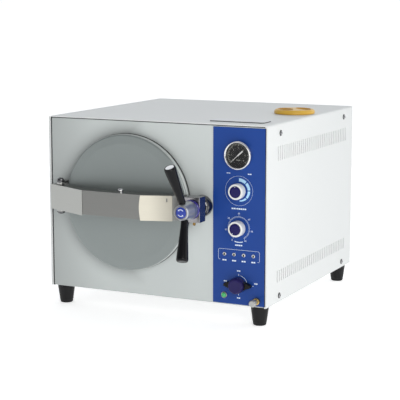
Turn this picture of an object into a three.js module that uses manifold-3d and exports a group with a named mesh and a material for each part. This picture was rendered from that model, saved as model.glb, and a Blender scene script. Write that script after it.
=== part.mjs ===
// Benchtop steam autoclave: a sheet-metal cabinet on four rubber feet, a round pressure chamber with a
// swinging door, a screw handle that clamps the door bar, and a control column on the right.
// Millimetres, +Z up, +X to the operator's right, +Y from the operator into the machine.
import * as THREE from "three";
import { mergeVertices } from "three/addons/utils/BufferGeometryUtils.js";
import Module from "manifold-3d";

const wasm = await Module();
wasm.setup();

// ---- driving dimensions -------------------------------------------------------------------------
const WIDTH = 480; // cabinet, outside
const DEPTH = 480;
const HEIGHT = 350; // cabinet without its feet
const FOOT_HEIGHT = 38;
const FRONT_Y = -187.13; // where the front panel's face lies, so that the whole machine is centred on Y
const SHEET = 1.5;
const GAP = 0.3; // between pieces that touch

const FOOT_INSET = 22; // foot axis from the cabinet's sides
const SCREW_Y = [66, 423]; // cover screws on each side
const SCREW_Z = [12.5, 331];
const VENT = { first: 55, last: 436, count: 36, width: 4, low: [40, 64], high: [278, 307] };

const CHAMBER = { x: -53.5, z: 187, inner: 123, wall: 3, flange: 131.3, back: 430 };
const DOOR = { radius: 135.5, face: 20, plate: 131, opening: 133.3 };
const BAR = { low: 168, high: 215.5, web: 3, stud: -43 };
const HINGE = { x: -196, out: 29, pin: 3.5, nut: 8.2, low: 161.5, high: 221.5 };
const HANDLE = { x: 107, z: 190.5, spindle: 8, barrel: 18, face: 96 };
const GRIP = { tilt: 24, lean: 8.3, start: 20.5, length: 77, base: 7, tip: 11.5 };

const COLUMN = { left: 129, right: 237.2, low: 3, high: 345, thick: 1.2 };
const GAUGE = { x: 183.3, z: 292.6, bezel: 27.7, cup: 25.2 };
const TEMP_KNOB = { x: 183.3, z: 224.2 };
const TIMER_KNOB = { x: 183.3, z: 152.5 };
const KNOB = { base: 15.2, cap: 11.2, height: 20, shaft: 3 };
const SELECTOR = { x: 183.5, z: 42, radius: 15.5, wing: 28, height: 19, shaft: 4 };
const LAMPS = { x: [153.4, 173.2, 193.8, 213.9], z: 100.2, radius: 3 };
const BUTTON = { x: 153, z: 19.4, radius: 6 };
const DRAIN = { x: 222, z: 13.5, radius: 7, reach: 27 };
const FILLER = { x: 190, y: 261, cap: 42, neck: 28, height: 10 };
const CAP_RECESS = { at: 20, half: [14, 26], deep: 5, turn: 40 }; // two finger recesses, turned in degrees
const TANK = { x: [112, 232], y: [130, 400], z: [212, 342], wall: 3 };
const LID = { x: [100, 215], y: [40, 82], thick: 1.8, corner: 6 };

// ---- materials ----------------------------------------------------------------------------------
const material = (color, roughness, metalness) =>
  new THREE.MeshStandardMaterial({ color, roughness, metalness });
const WHITE = material(0xe9ebea, 0.5, 0.1);
const PALE_GREY = material(0xb9bebf, 0.5, 0.1);
const BLUE = material(0x33509a, 0.35, 0);
const DARK_BLUE = material(0x1f2a6b, 0.3, 0);
const BLACK = material(0x17171a, 0.45, 0);
const RUBBER = material(0x1c1c1e, 0.8, 0);
const STEEL = material(0x9a9c98, 0.35, 0.9);
const CHROME = material(0xd5d6d8, 0.12, 1);
const BRASS = material(0xb08a3e, 0.3, 0.9);
const AMBER = material(0xe1a037, 0.4, 0);
const PLASTIC = material(0xe8e8e4, 0.4, 0);
const SILICONE = material(0xc9b8a4, 0.7, 0);
const GREEN = material(0x2fa34a, 0.25, 0);
const GLASS = material(0xdfe8ee, 0.05, 0);

// ---- solids -------------------------------------------------------------------------------------
function solidOf(geometry) {
  const bare = geometry.clone();
  bare.deleteAttribute("normal");
  bare.deleteAttribute("uv");
  const merged = mergeVertices(bare, 1e-3);
  const index = merged.index ? merged.index.array : [...Array(merged.attributes.position.count).keys()];
  const kept = [];
  for (let i = 0; i < index.length; i += 3) {
    const [a, b, c] = [index[i], index[i + 1], index[i + 2]];
    if (a !== b && b !== c && c !== a) kept.push(a, b, c);
  }
  const vertProperties = new Float32Array(merged.attributes.position.array);
  return new wasm.Manifold(new wasm.Mesh({ numProp: 3, vertProperties, triVerts: new Uint32Array(kept) }));
}

function geometryOf(solid) {
  const mesh = solid.getMesh();
  const geometry = new THREE.BufferGeometry();
  geometry.setAttribute("position", new THREE.BufferAttribute(mesh.vertProperties, 3));
  geometry.setIndex(new THREE.BufferAttribute(mesh.triVerts, 1));
  geometry.computeVertexNormals();
  return geometry;
}

function cut(geometry, ...tools) {
  let solid = solidOf(geometry);
  for (const tool of tools) solid = solid.subtract(solidOf(tool));
  return geometryOf(solid);
}

function join(...pieces) {
  let solid = solidOf(pieces[0]);
  for (const piece of pieces.slice(1)) solid = solid.add(solidOf(piece));
  return geometryOf(solid);
}

function box([x0, x1], [y0, y1], [z0, z1]) {
  const geometry = new THREE.BoxGeometry(x1 - x0, y1 - y0, z1 - z0);
  return geometry.translate((x0 + x1) / 2, (y0 + y1) / 2, (z0 + z1) / 2);
}

// Cylinders along each axis, from one coordinate to another.
function rodY(radius, [y0, y1], x, z, sides = 20) {
  return new THREE.CylinderGeometry(radius, radius, y1 - y0, sides).translate(x, (y0 + y1) / 2, z);
}

function rodX(radius, [x0, x1], y, z, sides = 12) {
  const geometry = new THREE.CylinderGeometry(radius, radius, x1 - x0, sides).rotateZ(-Math.PI / 2);
  return geometry.translate((x0 + x1) / 2, y, z);
}

function rodZ(radius, [z0, z1], x, y, sides = 20) {
  const geometry = new THREE.CylinderGeometry(radius, radius, z1 - z0, sides).rotateX(Math.PI / 2);
  return geometry.translate(x, y, (z0 + z1) / 2);
}

// A profile of [radius, y] points turned about an axis along Y through (x, z).
// The points run outwards at the low end, up the outside, and back in.
function turnedY(profile, x, z, sides = 24) {
  const points = profile.map(([r, y]) => new THREE.Vector2(r, y));
  return new THREE.LatheGeometry(points, sides).translate(x, 0, z);
}

// The same, turned about an axis along Z through (x, y), with [radius, z] points.
function turnedZ(profile, x, y, sides = 24) {
  const points = profile.map(([r, z]) => new THREE.Vector2(r, z));
  return new THREE.LatheGeometry(points, sides).rotateX(Math.PI / 2).translate(x, y, 0);
}

// A plan outline of [x, y] points, upright from one height to another.
function upright(outline, [z0, z1]) {
  const shape = new THREE.Shape(outline.map(([x, y]) => new THREE.Vector2(x, y)));
  return new THREE.ExtrudeGeometry(shape, { depth: z1 - z0, bevelEnabled: false }).translate(0, 0, z0);
}

// A front outline of [x, z] points, drawn through from one depth to another.
function through(outline, [y0, y1]) {
  const shape = new THREE.Shape(outline.map(([x, z]) => new THREE.Vector2(x, z)));
  const geometry = new THREE.ExtrudeGeometry(shape, { depth: y1 - y0, bevelEnabled: false });
  return geometry.rotateX(Math.PI / 2).translate(0, y1, 0);
}

function roundedPlate([x0, x1], [y0, y1], radius) {
  const shape = new THREE.Shape();
  shape.moveTo(x0 + radius, y0);
  shape.lineTo(x1 - radius, y0);
  shape.absarc(x1 - radius, y0 + radius, radius, -Math.PI / 2, 0);
  shape.lineTo(x1, y1 - radius);
  shape.absarc(x1 - radius, y1 - radius, radius, 0, Math.PI / 2);
  shape.lineTo(x0 + radius, y1);
  shape.absarc(x0 + radius, y1 - radius, radius, Math.PI / 2, Math.PI);
  shape.lineTo(x0, y0 + radius);
  shape.absarc(x0 + radius, y0 + radius, radius, Math.PI, 1.5 * Math.PI);
  return shape;
}

// A tube of one radius along a list of [x, y, z] points, rounded by a curve.
function tube(points, radius, steps, sides = 8) {
  const places = points.map((p) => new THREE.Vector3(...p));
  const path = new THREE.CatmullRomCurve3(places, false, "catmullrom", 0.2);
  const section = new THREE.Shape();
  section.absarc(0, 0, radius, 0, 2 * Math.PI);
  return new THREE.ExtrudeGeometry(section, { steps, curveSegments: sides / 2, extrudePath: path });
}

// ---- assembly -----------------------------------------------------------------------------------
const autoclave = new THREE.Group();
// The machine's own frame: Y = 0 on the front panel's face and Z = 0 on the cabinet's underside.
const machine = new THREE.Group();
machine.position.set(0, FRONT_Y, FOOT_HEIGHT);
autoclave.add(machine);

function add(name, geometry, finish) {
  const mesh = new THREE.Mesh(geometry, finish.clone());
  mesh.name = name;
  machine.add(mesh);
  return mesh;
}

const HALF = WIDTH / 2;
const INSIDE = HALF - SHEET - 1; // half the width of what stands inside the cover
const SIDES = [["left", -1], ["right", 1]];

// ---- cabinet ------------------------------------------------------------------------------------
function coverSheet() {
  const outer = roundedPlate([-HALF, HALF], [-20, HEIGHT], 4);
  const solid = new THREE.ExtrudeGeometry(outer, { depth: DEPTH, bevelEnabled: false, curveSegments: 3 });
  solid.rotateX(Math.PI / 2).translate(0, DEPTH, 0);
  const inside = box([-HALF + SHEET, HALF - SHEET], [-10, DEPTH + 10], [-50, HEIGHT - SHEET]);
  const under = box([-HALF - 5, HALF + 5], [-10, DEPTH + 10], [-50, 0]);
  const tools = [inside, under];
  const pitch = (VENT.last - VENT.first) / (VENT.count - 1);
  for (const band of [VENT.low, VENT.high]) {
    for (let i = 0; i < VENT.count; i += 1) {
      const y = VENT.first + i * pitch;
      tools.push(box([-HALF - 5, HALF + 5], [y - VENT.width / 2, y + VENT.width / 2], band));
    }
  }
  for (const y of SCREW_Y) {
    for (const z of SCREW_Z) tools.push(rodX(2.4, [-HALF - 5, HALF + 5], y, z, 8));
  }
  tools.push(rodZ(FILLER.neck + 0.8, [HEIGHT - 20, HEIGHT + 20], FILLER.x, FILLER.y, 20));
  return cut(solid, ...tools);
}
add("outer_cover", coverSheet(), WHITE);

function basePan() {
  const pan = box([-INSIDE, INSIDE], [3, DEPTH - 5], [0.3, 25]);
  const hollow = box([-INSIDE + 2, INSIDE - 2], [5, DEPTH - 7], [2.3, 30]);
  const holes = SCREW_Y.map((y) => rodX(2.4, [-HALF, HALF], y, SCREW_Z[0], 8));
  const underControls = box([COLUMN.left, INSIDE - 2], [0, 10], [5, 30]);
  return cut(pan, hollow, underControls, ...holes);
}
add("base_pan", basePan(), PALE_GREY);

function topFrame() {
  const y0 = SCREW_Y[0] - 12;
  const y1 = SCREW_Y[1] + 12;
  const ring = cut(
    box([-INSIDE, INSIDE], [y0, y1], [SCREW_Z[1] - 9, HEIGHT - SHEET - 2.3]),
    box([-INSIDE + 2, INSIDE - 2], [y0 - 5, y1 + 5], [0, HEIGHT - SHEET - 4.3]),
    box([-INSIDE + 14, INSIDE - 14], [y0 + 24, y1 - 24], [0, HEIGHT]),
    box([TANK.x[0] - 4, INSIDE - 2], [TANK.y[0] - 4, y1 - 24], [0, HEIGHT]),
    ...SCREW_Y.map((y) => rodX(2.4, [-HALF, HALF], y, SCREW_Z[1], 8)),
  );
  return ring;
}
add("top_frame", topFrame(), STEEL);

const INLET = { x: 170, z: 60, half: [14, 10] };
const RELIEF = { x: -52, z: 300 };
function rearPanel() {
  const panel = box([-INSIDE, INSIDE], [DEPTH - 4, DEPTH - 4 + SHEET], [1, HEIGHT - SHEET - 1]);
  const inlet = box(
    [INLET.x - INLET.half[0], INLET.x + INLET.half[0]],
    [DEPTH - 20, DEPTH + 20],
    [INLET.z - INLET.half[1], INLET.z + INLET.half[1]],
  );
  return cut(panel, inlet, rodY(8.5, [DEPTH - 20, DEPTH + 20], RELIEF.x, RELIEF.z, 16));
}
add("rear_panel", rearPanel(), PALE_GREY);

function holesForControls(spare) {
  const reach = [-20, 20];
  return [
    rodY(GAUGE.cup + spare, reach, GAUGE.x, GAUGE.z, 20),
    rodY(KNOB.shaft + 1 + spare, reach, TEMP_KNOB.x, TEMP_KNOB.z, 8),
    rodY(KNOB.shaft + 1 + spare, reach, TIMER_KNOB.x, TIMER_KNOB.z, 8),
    rodY(SELECTOR.shaft + 1 + spare, reach, SELECTOR.x, SELECTOR.z, 8),
    ...LAMPS.x.map((x) => rodY(LAMPS.radius + spare, reach, x, LAMPS.z, 8)),
    rodY(BUTTON.radius + spare, reach, BUTTON.x, BUTTON.z, 12),
    rodY(DRAIN.radius - 1.5 + spare, reach, DRAIN.x, DRAIN.z, 12),
  ];
}

function frontPanel() {
  const panel = box([-INSIDE, INSIDE], [0, SHEET], [1, HEIGHT - SHEET - 1]);
  return cut(
    panel,
    rodY(DOOR.opening, [-20, 20], CHAMBER.x, CHAMBER.z, 40),
    ...holesForControls(0.6),
  );
}
add("front_panel", frontPanel(), PALE_GREY);

function controlPanel() {
  const plate = box([COLUMN.left, COLUMN.right], [-GAP - COLUMN.thick, -GAP], [COLUMN.low, COLUMN.high]);
  return cut(plate, ...holesForControls(0.4));
}
add("control_panel", controlPanel(), BLUE);

function foot() {
  return [[0, -FOOT_HEIGHT], [12, -FOOT_HEIGHT], [13, -FOOT_HEIGHT + 1.5], [17.5, -3], [17.5, 0], [0, 0]];
}
for (const [side, sx] of SIDES) {
  for (const [end, y] of [["front", FOOT_INSET], ["rear", DEPTH - FOOT_INSET]]) {
    add("foot_" + end + "_" + side, turnedZ(foot(), sx * (HALF - FOOT_INSET), y, 16), RUBBER);
  }
}

function coverScrew(sx, y, z) {
  const profile = [[0, -7], [1.9, -7], [1.9, GAP], [5.2, GAP], [4.2, 2.1], [0, 2.8]];
  return turnedZ(profile, 0, 0, 8).rotateY((sx * Math.PI) / 2).translate(sx * HALF, y, z);
}
for (const [side, sx] of SIDES) {
  for (const [row, z] of [["lower", SCREW_Z[0]], ["upper", SCREW_Z[1]]]) {
    SCREW_Y.forEach((y, i) => {
      add("cover_screw_" + side + "_" + row + "_" + (i + 1), coverScrew(sx, y, z), CHROME);
    });
  }
}

// ---- water filling ------------------------------------------------------------------------------
function topLid() {
  const shape = roundedPlate(LID.x, LID.y, LID.corner);
  const options = { depth: LID.thick, bevelEnabled: false, curveSegments: 4 };
  const geometry = new THREE.ExtrudeGeometry(shape, options);
  return geometry.translate(0, 0, HEIGHT + GAP);
}
add("top_lid", topLid(), WHITE);

function waterTank() {
  const { x, y, z, wall } = TANK;
  const rim = HEIGHT + 3;
  const outer = join(box(x, y, z), rodZ(FILLER.neck, [z[1] - 5, rim], FILLER.x, FILLER.y, 20));
  const inner = box([x[0] + wall, x[1] - wall], [y[0] + wall, y[1] - wall], [z[0] + wall, z[1] - wall]);
  return cut(outer, inner, rodZ(FILLER.neck - 3, [z[1] - 20, rim + 5], FILLER.x, FILLER.y, 20));
}
add("water_tank", waterTank(), PLASTIC);

function fillerCap() {
  const z0 = HEIGHT + GAP;
  const r = FILLER.cap;
  const profile = [
    [FILLER.neck + 0.5, z0],
    [r, z0],
    [r, z0 + 6],
    [r - 3, z0 + 9],
    [0, z0 + FILLER.height],
    [0, z0 + 3.2],
    [FILLER.neck + 0.5, z0 + 3.2],
    [FILLER.neck + 0.5, z0],
  ];
  const cap = turnedZ(profile, FILLER.x, FILLER.y, 28);
  const { at, half, deep, turn } = CAP_RECESS;
  const pockets = [-1, 1].map((side) => {
    const pocket = new THREE.CylinderGeometry(1, 1, 2 * deep, 16);
    pocket.rotateX(Math.PI / 2).scale(half[0], half[1], 1);
    pocket.translate(side * at, 0, z0 + FILLER.height).rotateZ((turn * Math.PI) / 180);
    return pocket.translate(FILLER.x, FILLER.y, 0);
  });
  return cut(cap, ...pockets);
}
add("filler_cap", fillerCap(), AMBER);

// ---- pressure chamber ---------------------------------------------------------------------------
const chamberLine = CHAMBER.inner + CHAMBER.wall;
const HEATER = { radius: 4, half: 34, drop: 104, front: 60 };
const PORT = { x: CHAMBER.x + 60, z: CHAMBER.z + 60 };

function chamberShell() {
  const { inner, flange, back, wall } = CHAMBER;
  const shell = turnedY(
    [
      [inner, -4],
      [flange, -4],
      [flange, 9],
      [chamberLine, 9],
      [chamberLine, back - 16],
      [chamberLine - 14, back],
      [0, back + 8],
      [0, back + 8 - wall],
      [inner - 14, back - wall],
      [inner, back - 16 - wall],
      [inner, -4],
    ],
    CHAMBER.x,
    CHAMBER.z,
    32,
  );
  const ends = [-1, 1].map((side) => {
    const x = CHAMBER.x + side * HEATER.half;
    return rodY(HEATER.radius + 0.5, [back - 30, back + 20], x, CHAMBER.z - HEATER.drop, 12);
  });
  const port = rodY(4, [back - 30, back + 20], PORT.x, PORT.z, 12);
  return cut(shell, ...ends, port);
}
add("chamber", chamberShell(), STEEL);

function insulationJacket() {
  const inner = chamberLine + 1;
  const profile = [[inner, 24], [145, 24], [145, 405], [inner, 405], [inner, 24]];
  return turnedY(profile, CHAMBER.x, CHAMBER.z, 32);
}
add("insulation_jacket", insulationJacket(), SILICONE);

function heatingElement() {
  const z = CHAMBER.z - HEATER.drop;
  const end = CHAMBER.back + 22;
  const bend = HEATER.front + HEATER.half;
  const points = [[CHAMBER.x - HEATER.half, end, z], [CHAMBER.x - HEATER.half, bend, z]];
  for (let i = 1; i < 6; i += 1) {
    const a = Math.PI + (i * Math.PI) / 6;
    points.push([CHAMBER.x + HEATER.half * Math.cos(a), bend + HEATER.half * Math.sin(a), z]);
  }
  points.push([CHAMBER.x + HEATER.half, bend, z], [CHAMBER.x + HEATER.half, end, z]);
  return tube(points, HEATER.radius, 26);
}
add("heater", heatingElement(), STEEL);

const RACK = { y: [45, 395], half: 100, low: -66, high: 32, sheet: 2, ledges: [-58, -12], ledge: 8 };
function trayRack() {
  const { x, z } = CHAMBER;
  const width = [x - RACK.half, x + RACK.half];
  const pieces = [];
  for (const side of [-1, 1]) {
    const wall = x + side * (RACK.half - RACK.sheet / 2);
    pieces.push(box([wall - RACK.sheet / 2, wall + RACK.sheet / 2], RACK.y, [z + RACK.low, z + RACK.high]));
    for (const level of RACK.ledges) {
      const inner = x + side * (RACK.half - RACK.ledge);
      const ledge = [Math.min(wall, inner), Math.max(wall, inner)];
      pieces.push(box(ledge, RACK.y, [z + level, z + level + RACK.sheet]));
    }
  }
  for (const y of [RACK.y[0], RACK.y[1] - 20]) {
    pieces.push(box(width, [y, y + 20], [z + RACK.low, z + RACK.low + RACK.sheet]));
  }
  return join(...pieces);
}
add("tray_rack", trayRack(), STEEL);

const TRAY = { half: [96, 165], height: 18, wall: 1.5 };
function tray(level) {
  const y = (RACK.y[0] + RACK.y[1]) / 2;
  const z = CHAMBER.z + level + RACK.sheet + GAP;
  const [hx, hy] = TRAY.half;
  const pan = box([CHAMBER.x - hx, CHAMBER.x + hx], [y - hy, y + hy], [z, z + TRAY.height]);
  const inner = [hx - TRAY.wall, hy - TRAY.wall];
  const hollow = box(
    [CHAMBER.x - inner[0], CHAMBER.x + inner[0]],
    [y - inner[1], y + inner[1]],
    [z + TRAY.wall, z + TRAY.height + 5],
  );
  return cut(pan, hollow);
}
add("tray_lower", tray(RACK.ledges[0]), CHROME);
add("tray_upper", tray(RACK.ledges[1]), CHROME);

// ---- door ---------------------------------------------------------------------------------------
// Depths in front of the front panel are negative Y; "out" counts them as positive millimetres.
const out = (amount) => -amount;
const PANEL_OUT = GAP + COLUMN.thick; // face of the control panel

function doorCover() {
  const { radius, face } = DOOR;
  const skin = 2;
  const profile = [
    [0, out(face + 1.5)],
    [60, out(face + 1)],
    [radius - 12, out(face)],
    [radius - 4, out(face - 2)],
    [radius, out(face - 6)],
    [radius, out(5)],
    [radius - skin, out(5)],
    [radius - skin, out(face - 7)],
    [radius - 13, out(face - skin)],
    [0, out(face - skin + 1.5)],
  ];
  const cover = turnedY(profile, CHAMBER.x, CHAMBER.z, 44);
  return cut(cover, rodY(13, [out(40), out(10)], BAR.stud, CHAMBER.z, 16));
}
add("door_cover", doorCover(), STEEL);

function doorPlate() {
  const r = DOOR.plate;
  const profile = [
    [0, out(12)],
    [r, out(12)],
    [r, out(8)],
    [r - 2, out(7)],
    [r - 2.5, out(10)],
    [r - 12, out(10)],
    [r - 12.5, out(5)],
    [0, out(5)],
  ];
  return turnedY(profile, CHAMBER.x, CHAMBER.z, 36);
}
add("door_plate", doorPlate(), STEEL);

function doorGasket() {
  const r = DOOR.plate - 7.2;
  const profile = [
    [r - 4, out(9.7)],
    [r + 4, out(9.7)],
    [r + 4, out(6)],
    [r + 2, out(4.3)],
    [r - 2, out(4.3)],
    [r - 4, out(6)],
    [r - 4, out(9.7)],
  ];
  return turnedY(profile, CHAMBER.x, CHAMBER.z, 32);
}
add("door_gasket", doorGasket(), SILICONE);

const STUD = { radius: 11, out: [12.3, 66], pin: 4 };
function doorStud() {
  const boss = turnedY(
    [
      [0, out(STUD.out[1])],
      [9, out(STUD.out[1])],
      [STUD.radius, out(STUD.out[1] - 3)],
      [STUD.radius, out(STUD.out[0])],
      [0, out(STUD.out[0])],
    ],
    BAR.stud,
    CHAMBER.z,
    20,
  );
  return cut(boss, rodZ(STUD.pin + GAP, [BAR.low, BAR.high], BAR.stud, out(57), 12));
}
add("door_stud", doorStud(), STEEL);

// The bar's front line in plan, from the hinge end to the latch block: [x, out].
const BAR_LINE = [[-220, 27], [-117, 76], [13, 80], [73, 60], [89.7, 51]];
function barOutline(inset, line) {
  return line.map(([x, depth]) => [x, out(depth - inset)]);
}

const FLANGE_BACK = [[89.7, 34], [60, 36], [10, 48], [-95, 48], [-150, 34], [-184, 30]];
FLANGE_BACK.push([-190, 25], [-192, 22], [-205, 17], [-220, 24]);
function doorBar() {
  const web = [...barOutline(0, BAR_LINE), ...barOutline(BAR.web, BAR_LINE).reverse()];
  const flange = [...barOutline(0, BAR_LINE), ...FLANGE_BACK.map(([x, depth]) => [x, out(depth)])];
  const solid = join(
    upright(web.reverse(), [BAR.low, BAR.high]),
    upright([...flange].reverse(), [BAR.low, BAR.low + BAR.web]),
    upright([...flange].reverse(), [BAR.high - BAR.web, BAR.high]),
    rodZ(HINGE.pin + 3.4, [BAR.low, BAR.high], HINGE.x, out(HINGE.out), 16),
  );
  return cut(
    solid,
    rodZ(HINGE.pin + 0.4, [BAR.low - 5, BAR.high + 5], HINGE.x, out(HINGE.out), 14),
    rodZ(STUD.pin + GAP, [BAR.low - 5, BAR.high + 5], BAR.stud, out(57), 12),
  );
}
add("door_bar", doorBar(), STEEL);

function barCover() {
  const [a, b] = [BAR_LINE[2], BAR_LINE[3]];
  const along = new THREE.Vector2(b[0] - a[0], out(b[1]) - out(a[1]));
  const length = along.length() - 1;
  const height = BAR.high - BAR.low + 1.5;
  const shape = new THREE.Shape();
  shape.moveTo(0, 0);
  shape.lineTo(length, 0);
  shape.lineTo(length, height);
  shape.lineTo(0, height);
  shape.quadraticCurveTo(-5, height / 2, 0, 0);
  const plate = new THREE.ExtrudeGeometry(shape, { depth: 1.2, bevelEnabled: false, curveSegments: 8 });
  // The plate is drawn flat, stood up, turned to lie along the bar and set on its face.
  plate.rotateX(Math.PI / 2).rotateZ(along.angle());
  const normal = new THREE.Vector2(along.y, -along.x).normalize().multiplyScalar(GAP);
  return plate.translate(a[0] + normal.x, out(a[1]) + normal.y, BAR.low - 1.5);
}
add("bar_cover", barCover(), PLASTIC);

function studPin() {
  const profile = [
    [0, BAR.low - 3],
    [STUD.pin, BAR.low - 3],
    [STUD.pin, BAR.high + GAP],
    [5.5, BAR.high + GAP],
    [5.5, BAR.high + 4],
    [3.8, BAR.high + 6.4],
    [0, BAR.high + 7],
  ];
  return turnedZ(profile, BAR.stud, out(57), 12);
}
add("stud_pin", studPin(), CHROME);

function hingeBracket() {
  const pieces = [box([-221, -195], [out(2.8), out(GAP)], [HINGE.low - 1, HINGE.high])];
  for (const level of [[HINGE.low + 0.7, BAR.low - 0.8], [BAR.high + 0.8, HINGE.high - 0.7]]) {
    pieces.push(box([-206, -194.6], [out(HINGE.out), out(1)], level));
    pieces.push(rodZ(7, level, HINGE.x, out(HINGE.out), 14));
  }
  return cut(join(...pieces), rodZ(HINGE.pin + GAP, [100, 260], HINGE.x, out(HINGE.out), 14));
}
add("hinge_bracket", hingeBracket(), STEEL);

function hingePin() {
  const top = HINGE.high;
  const bottom = HINGE.low;
  const profile = [
    [0, bottom - 5],
    [5, bottom - 4.4],
    [HINGE.nut, bottom - 2],
    [HINGE.nut, bottom],
    [HINGE.pin, bottom],
    [HINGE.pin, top],
    [HINGE.nut, top],
    [HINGE.nut, top + 3.2],
    [HINGE.nut - 1.4, top + 6],
    [3.5, top + 8],
    [0, top + 8.5],
  ];
  return turnedZ(profile, HINGE.x, out(HINGE.out), 14);
}
add("hinge_pin", hingePin(), CHROME);

// ---- latch and handle ---------------------------------------------------------------------------
const BLOCK = { x: [90, 124], out: [25, 51], z: [165, 213.8] };
const CATCH = { x: 110, out: 45, radius: 3 };
function latchBlock() {
  const block = box(BLOCK.x, [out(BLOCK.out[1]), out(BLOCK.out[0])], BLOCK.z);
  return cut(
    block,
    rodY(HANDLE.spindle + 0.35, [out(80), out(10)], HANDLE.x, HANDLE.z, 20),
    rodZ(CATCH.radius + 0.4, [BLOCK.z[0] - 5, BLOCK.z[0] + 14], CATCH.x, out(CATCH.out), 12),
  );
}
add("latch_block", latchBlock(), CHROME);

function catchPlunger() {
  const z = BLOCK.z[0];
  const profile = [[0, z - 6.5], [2, z - 6.2], [CATCH.radius, z - 4.5], [CATCH.radius, z + 9], [0, z + 9]];
  return turnedZ(profile, CATCH.x, out(CATCH.out), 12);
}
add("latch_catch", catchPlunger(), BRASS);

function latchSeat() {
  const profile = [
    [11, out(19)],
    [17, out(19)],
    [20, out(16)],
    [21.3, out(11)],
    [21.3, out(PANEL_OUT + GAP)],
    [17.5, out(PANEL_OUT + GAP)],
    [17.5, out(GAP)],
    [11, out(GAP)],
    [11, out(19)],
  ];
  return turnedY(profile, HANDLE.x, HANDLE.z, 20);
}
add("latch_seat", latchSeat(), CHROME);

const COLLAR = { out: 52, thick: 5, radius: 18.5 };
function spindle() {
  const r = HANDLE.spindle;
  const profile = [
    [0, out(HANDLE.face - 8)],
    [r, out(HANDLE.face - 8)],
    [r, out(COLLAR.out + COLLAR.thick)],
    [COLLAR.radius, out(COLLAR.out + COLLAR.thick)],
    [COLLAR.radius, out(COLLAR.out)],
    [r, out(COLLAR.out)],
    [r, out(7)],
    [r - 2, out(4)],
    [0, out(4)],
  ];
  return turnedY(profile, HANDLE.x, HANDLE.z, 16);
}
add("spindle", spindle(), STEEL);

function handleHub() {
  const { barrel, face } = HANDLE;
  const low = COLLAR.out + COLLAR.thick + GAP;
  const profile = [
    [0, out(face - 3)],
    [11.4, out(face - 3)],
    [11.4, out(face)],
    [13.8, out(face)],
    [15, out(face - 2)],
    [barrel - 1.4, out(face - 14)],
    [barrel, out(face - 24)],
    [barrel, out(low + 4)],
    [barrel - 1.5, out(low)],
    [HANDLE.spindle + GAP, out(low)],
    [HANDLE.spindle + GAP, out(face - 7.6)],
    [0, out(face - 7.6)],
  ];
  return turnedY(profile, HANDLE.x, HANDLE.z, 20);
}
add("handle_hub", handleHub(), CHROME);

function hubCap() {
  const { face } = HANDLE;
  const profile = [[0, out(face + 1)], [9, out(face + 0.7)], [11, out(face - 0.5)], [11, out(face - 2.7)]];
  return turnedY([...profile, [0, out(face - 2.7)]], HANDLE.x, HANDLE.z, 20);
}
add("hub_cap", hubCap(), DARK_BLUE);

// Each grip is turned about its own axis, which leans sideways and tilts towards the operator.
function grip(side) {
  const { start, length, base, tip } = GRIP;
  const profile = [
    [0, start],
    [base, start],
    [base + 0.8, start + 12],
    [tip - 0.6, start + length - 10],
    [tip, start + length - 5],
    [tip - 1, start + length - 1],
    [0, start + length],
  ];
  const points = profile.map(([r, y]) => new THREE.Vector2(r, y));
  const geometry = new THREE.LatheGeometry(points, 16);
  const tilt = THREE.MathUtils.degToRad(GRIP.tilt);
  const lean = THREE.MathUtils.degToRad(-GRIP.lean);
  const line = new THREE.Vector3(side * Math.sin(lean), 0, side * Math.cos(lean));
  line.multiplyScalar(Math.cos(tilt));
  line.y = -Math.sin(tilt);
  const turn = new THREE.Quaternion().setFromUnitVectors(new THREE.Vector3(0, 1, 0), line);
  return geometry.applyQuaternion(turn).translate(HANDLE.x, out(HANDLE.face - 19), HANDLE.z);
}
add("grip_upper", grip(1), BLACK);
add("grip_lower", grip(-1), BLACK);

// ---- control column -----------------------------------------------------------------------------

function gaugeCase() {
  const { bezel, cup } = GAUGE;
  const face = PANEL_OUT + 11;
  const profile = [
    [0, out(5)],
    [cup - 1.5, out(5)],
    [cup - 1.5, out(face - 1.5)],
    [cup - 0.5, out(face)],
    [bezel - 1, out(face)],
    [bezel, out(face - 2)],
    [bezel, out(PANEL_OUT + GAP)],
    [cup, out(PANEL_OUT + GAP)],
    [cup, 22],
    [0, 22],
  ];
  return turnedY(profile, GAUGE.x, GAUGE.z, 24);
}
add("gauge_case", gaugeCase(), CHROME);

const POINTER_REST = 222; // degrees anticlockwise from +X, seen from the front
function gaugePointer() {
  const blade = new THREE.Shape();
  blade.moveTo(-9, -1.6);
  blade.lineTo(0, -2);
  blade.lineTo(20, -0.6);
  blade.lineTo(20, 0.6);
  blade.lineTo(0, 2);
  blade.lineTo(-9, 1.6);
  const needle = new THREE.ExtrudeGeometry(blade, { depth: 0.8, bevelEnabled: false });
  needle.rotateZ(THREE.MathUtils.degToRad(POINTER_REST)).rotateX(Math.PI / 2);
  needle.translate(GAUGE.x, out(7.2), GAUGE.z);
  return join(needle, rodY(3, [out(9), out(5.4)], GAUGE.x, GAUGE.z, 12));
}
add("gauge_pointer", gaugePointer(), WHITE);
add("gauge_glass", rodY(GAUGE.cup - 1.9, [out(11), out(9.8)], GAUGE.x, GAUGE.z, 24), GLASS);

function turnKnob({ x, z }) {
  const { base, cap, height, shaft } = KNOB;
  const low = PANEL_OUT + 0.6;
  const top = PANEL_OUT + height;
  const profile = [
    [0, out(top)],
    [cap - 1, out(top)],
    [cap, out(top - 1)],
    [cap, out(top - 2.2)],
    [base - 1.5, out(top - 2.2)],
    [base, out(top - 4)],
    [base, out(low)],
    [shaft, out(low)],
    [shaft, 9],
    [0, 9],
  ];
  return turnedY(profile, x, z, 20);
}
add("temp_knob", turnKnob(TEMP_KNOB), PLASTIC);
add("timer_knob", turnKnob(TIMER_KNOB), PLASTIC);

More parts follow.
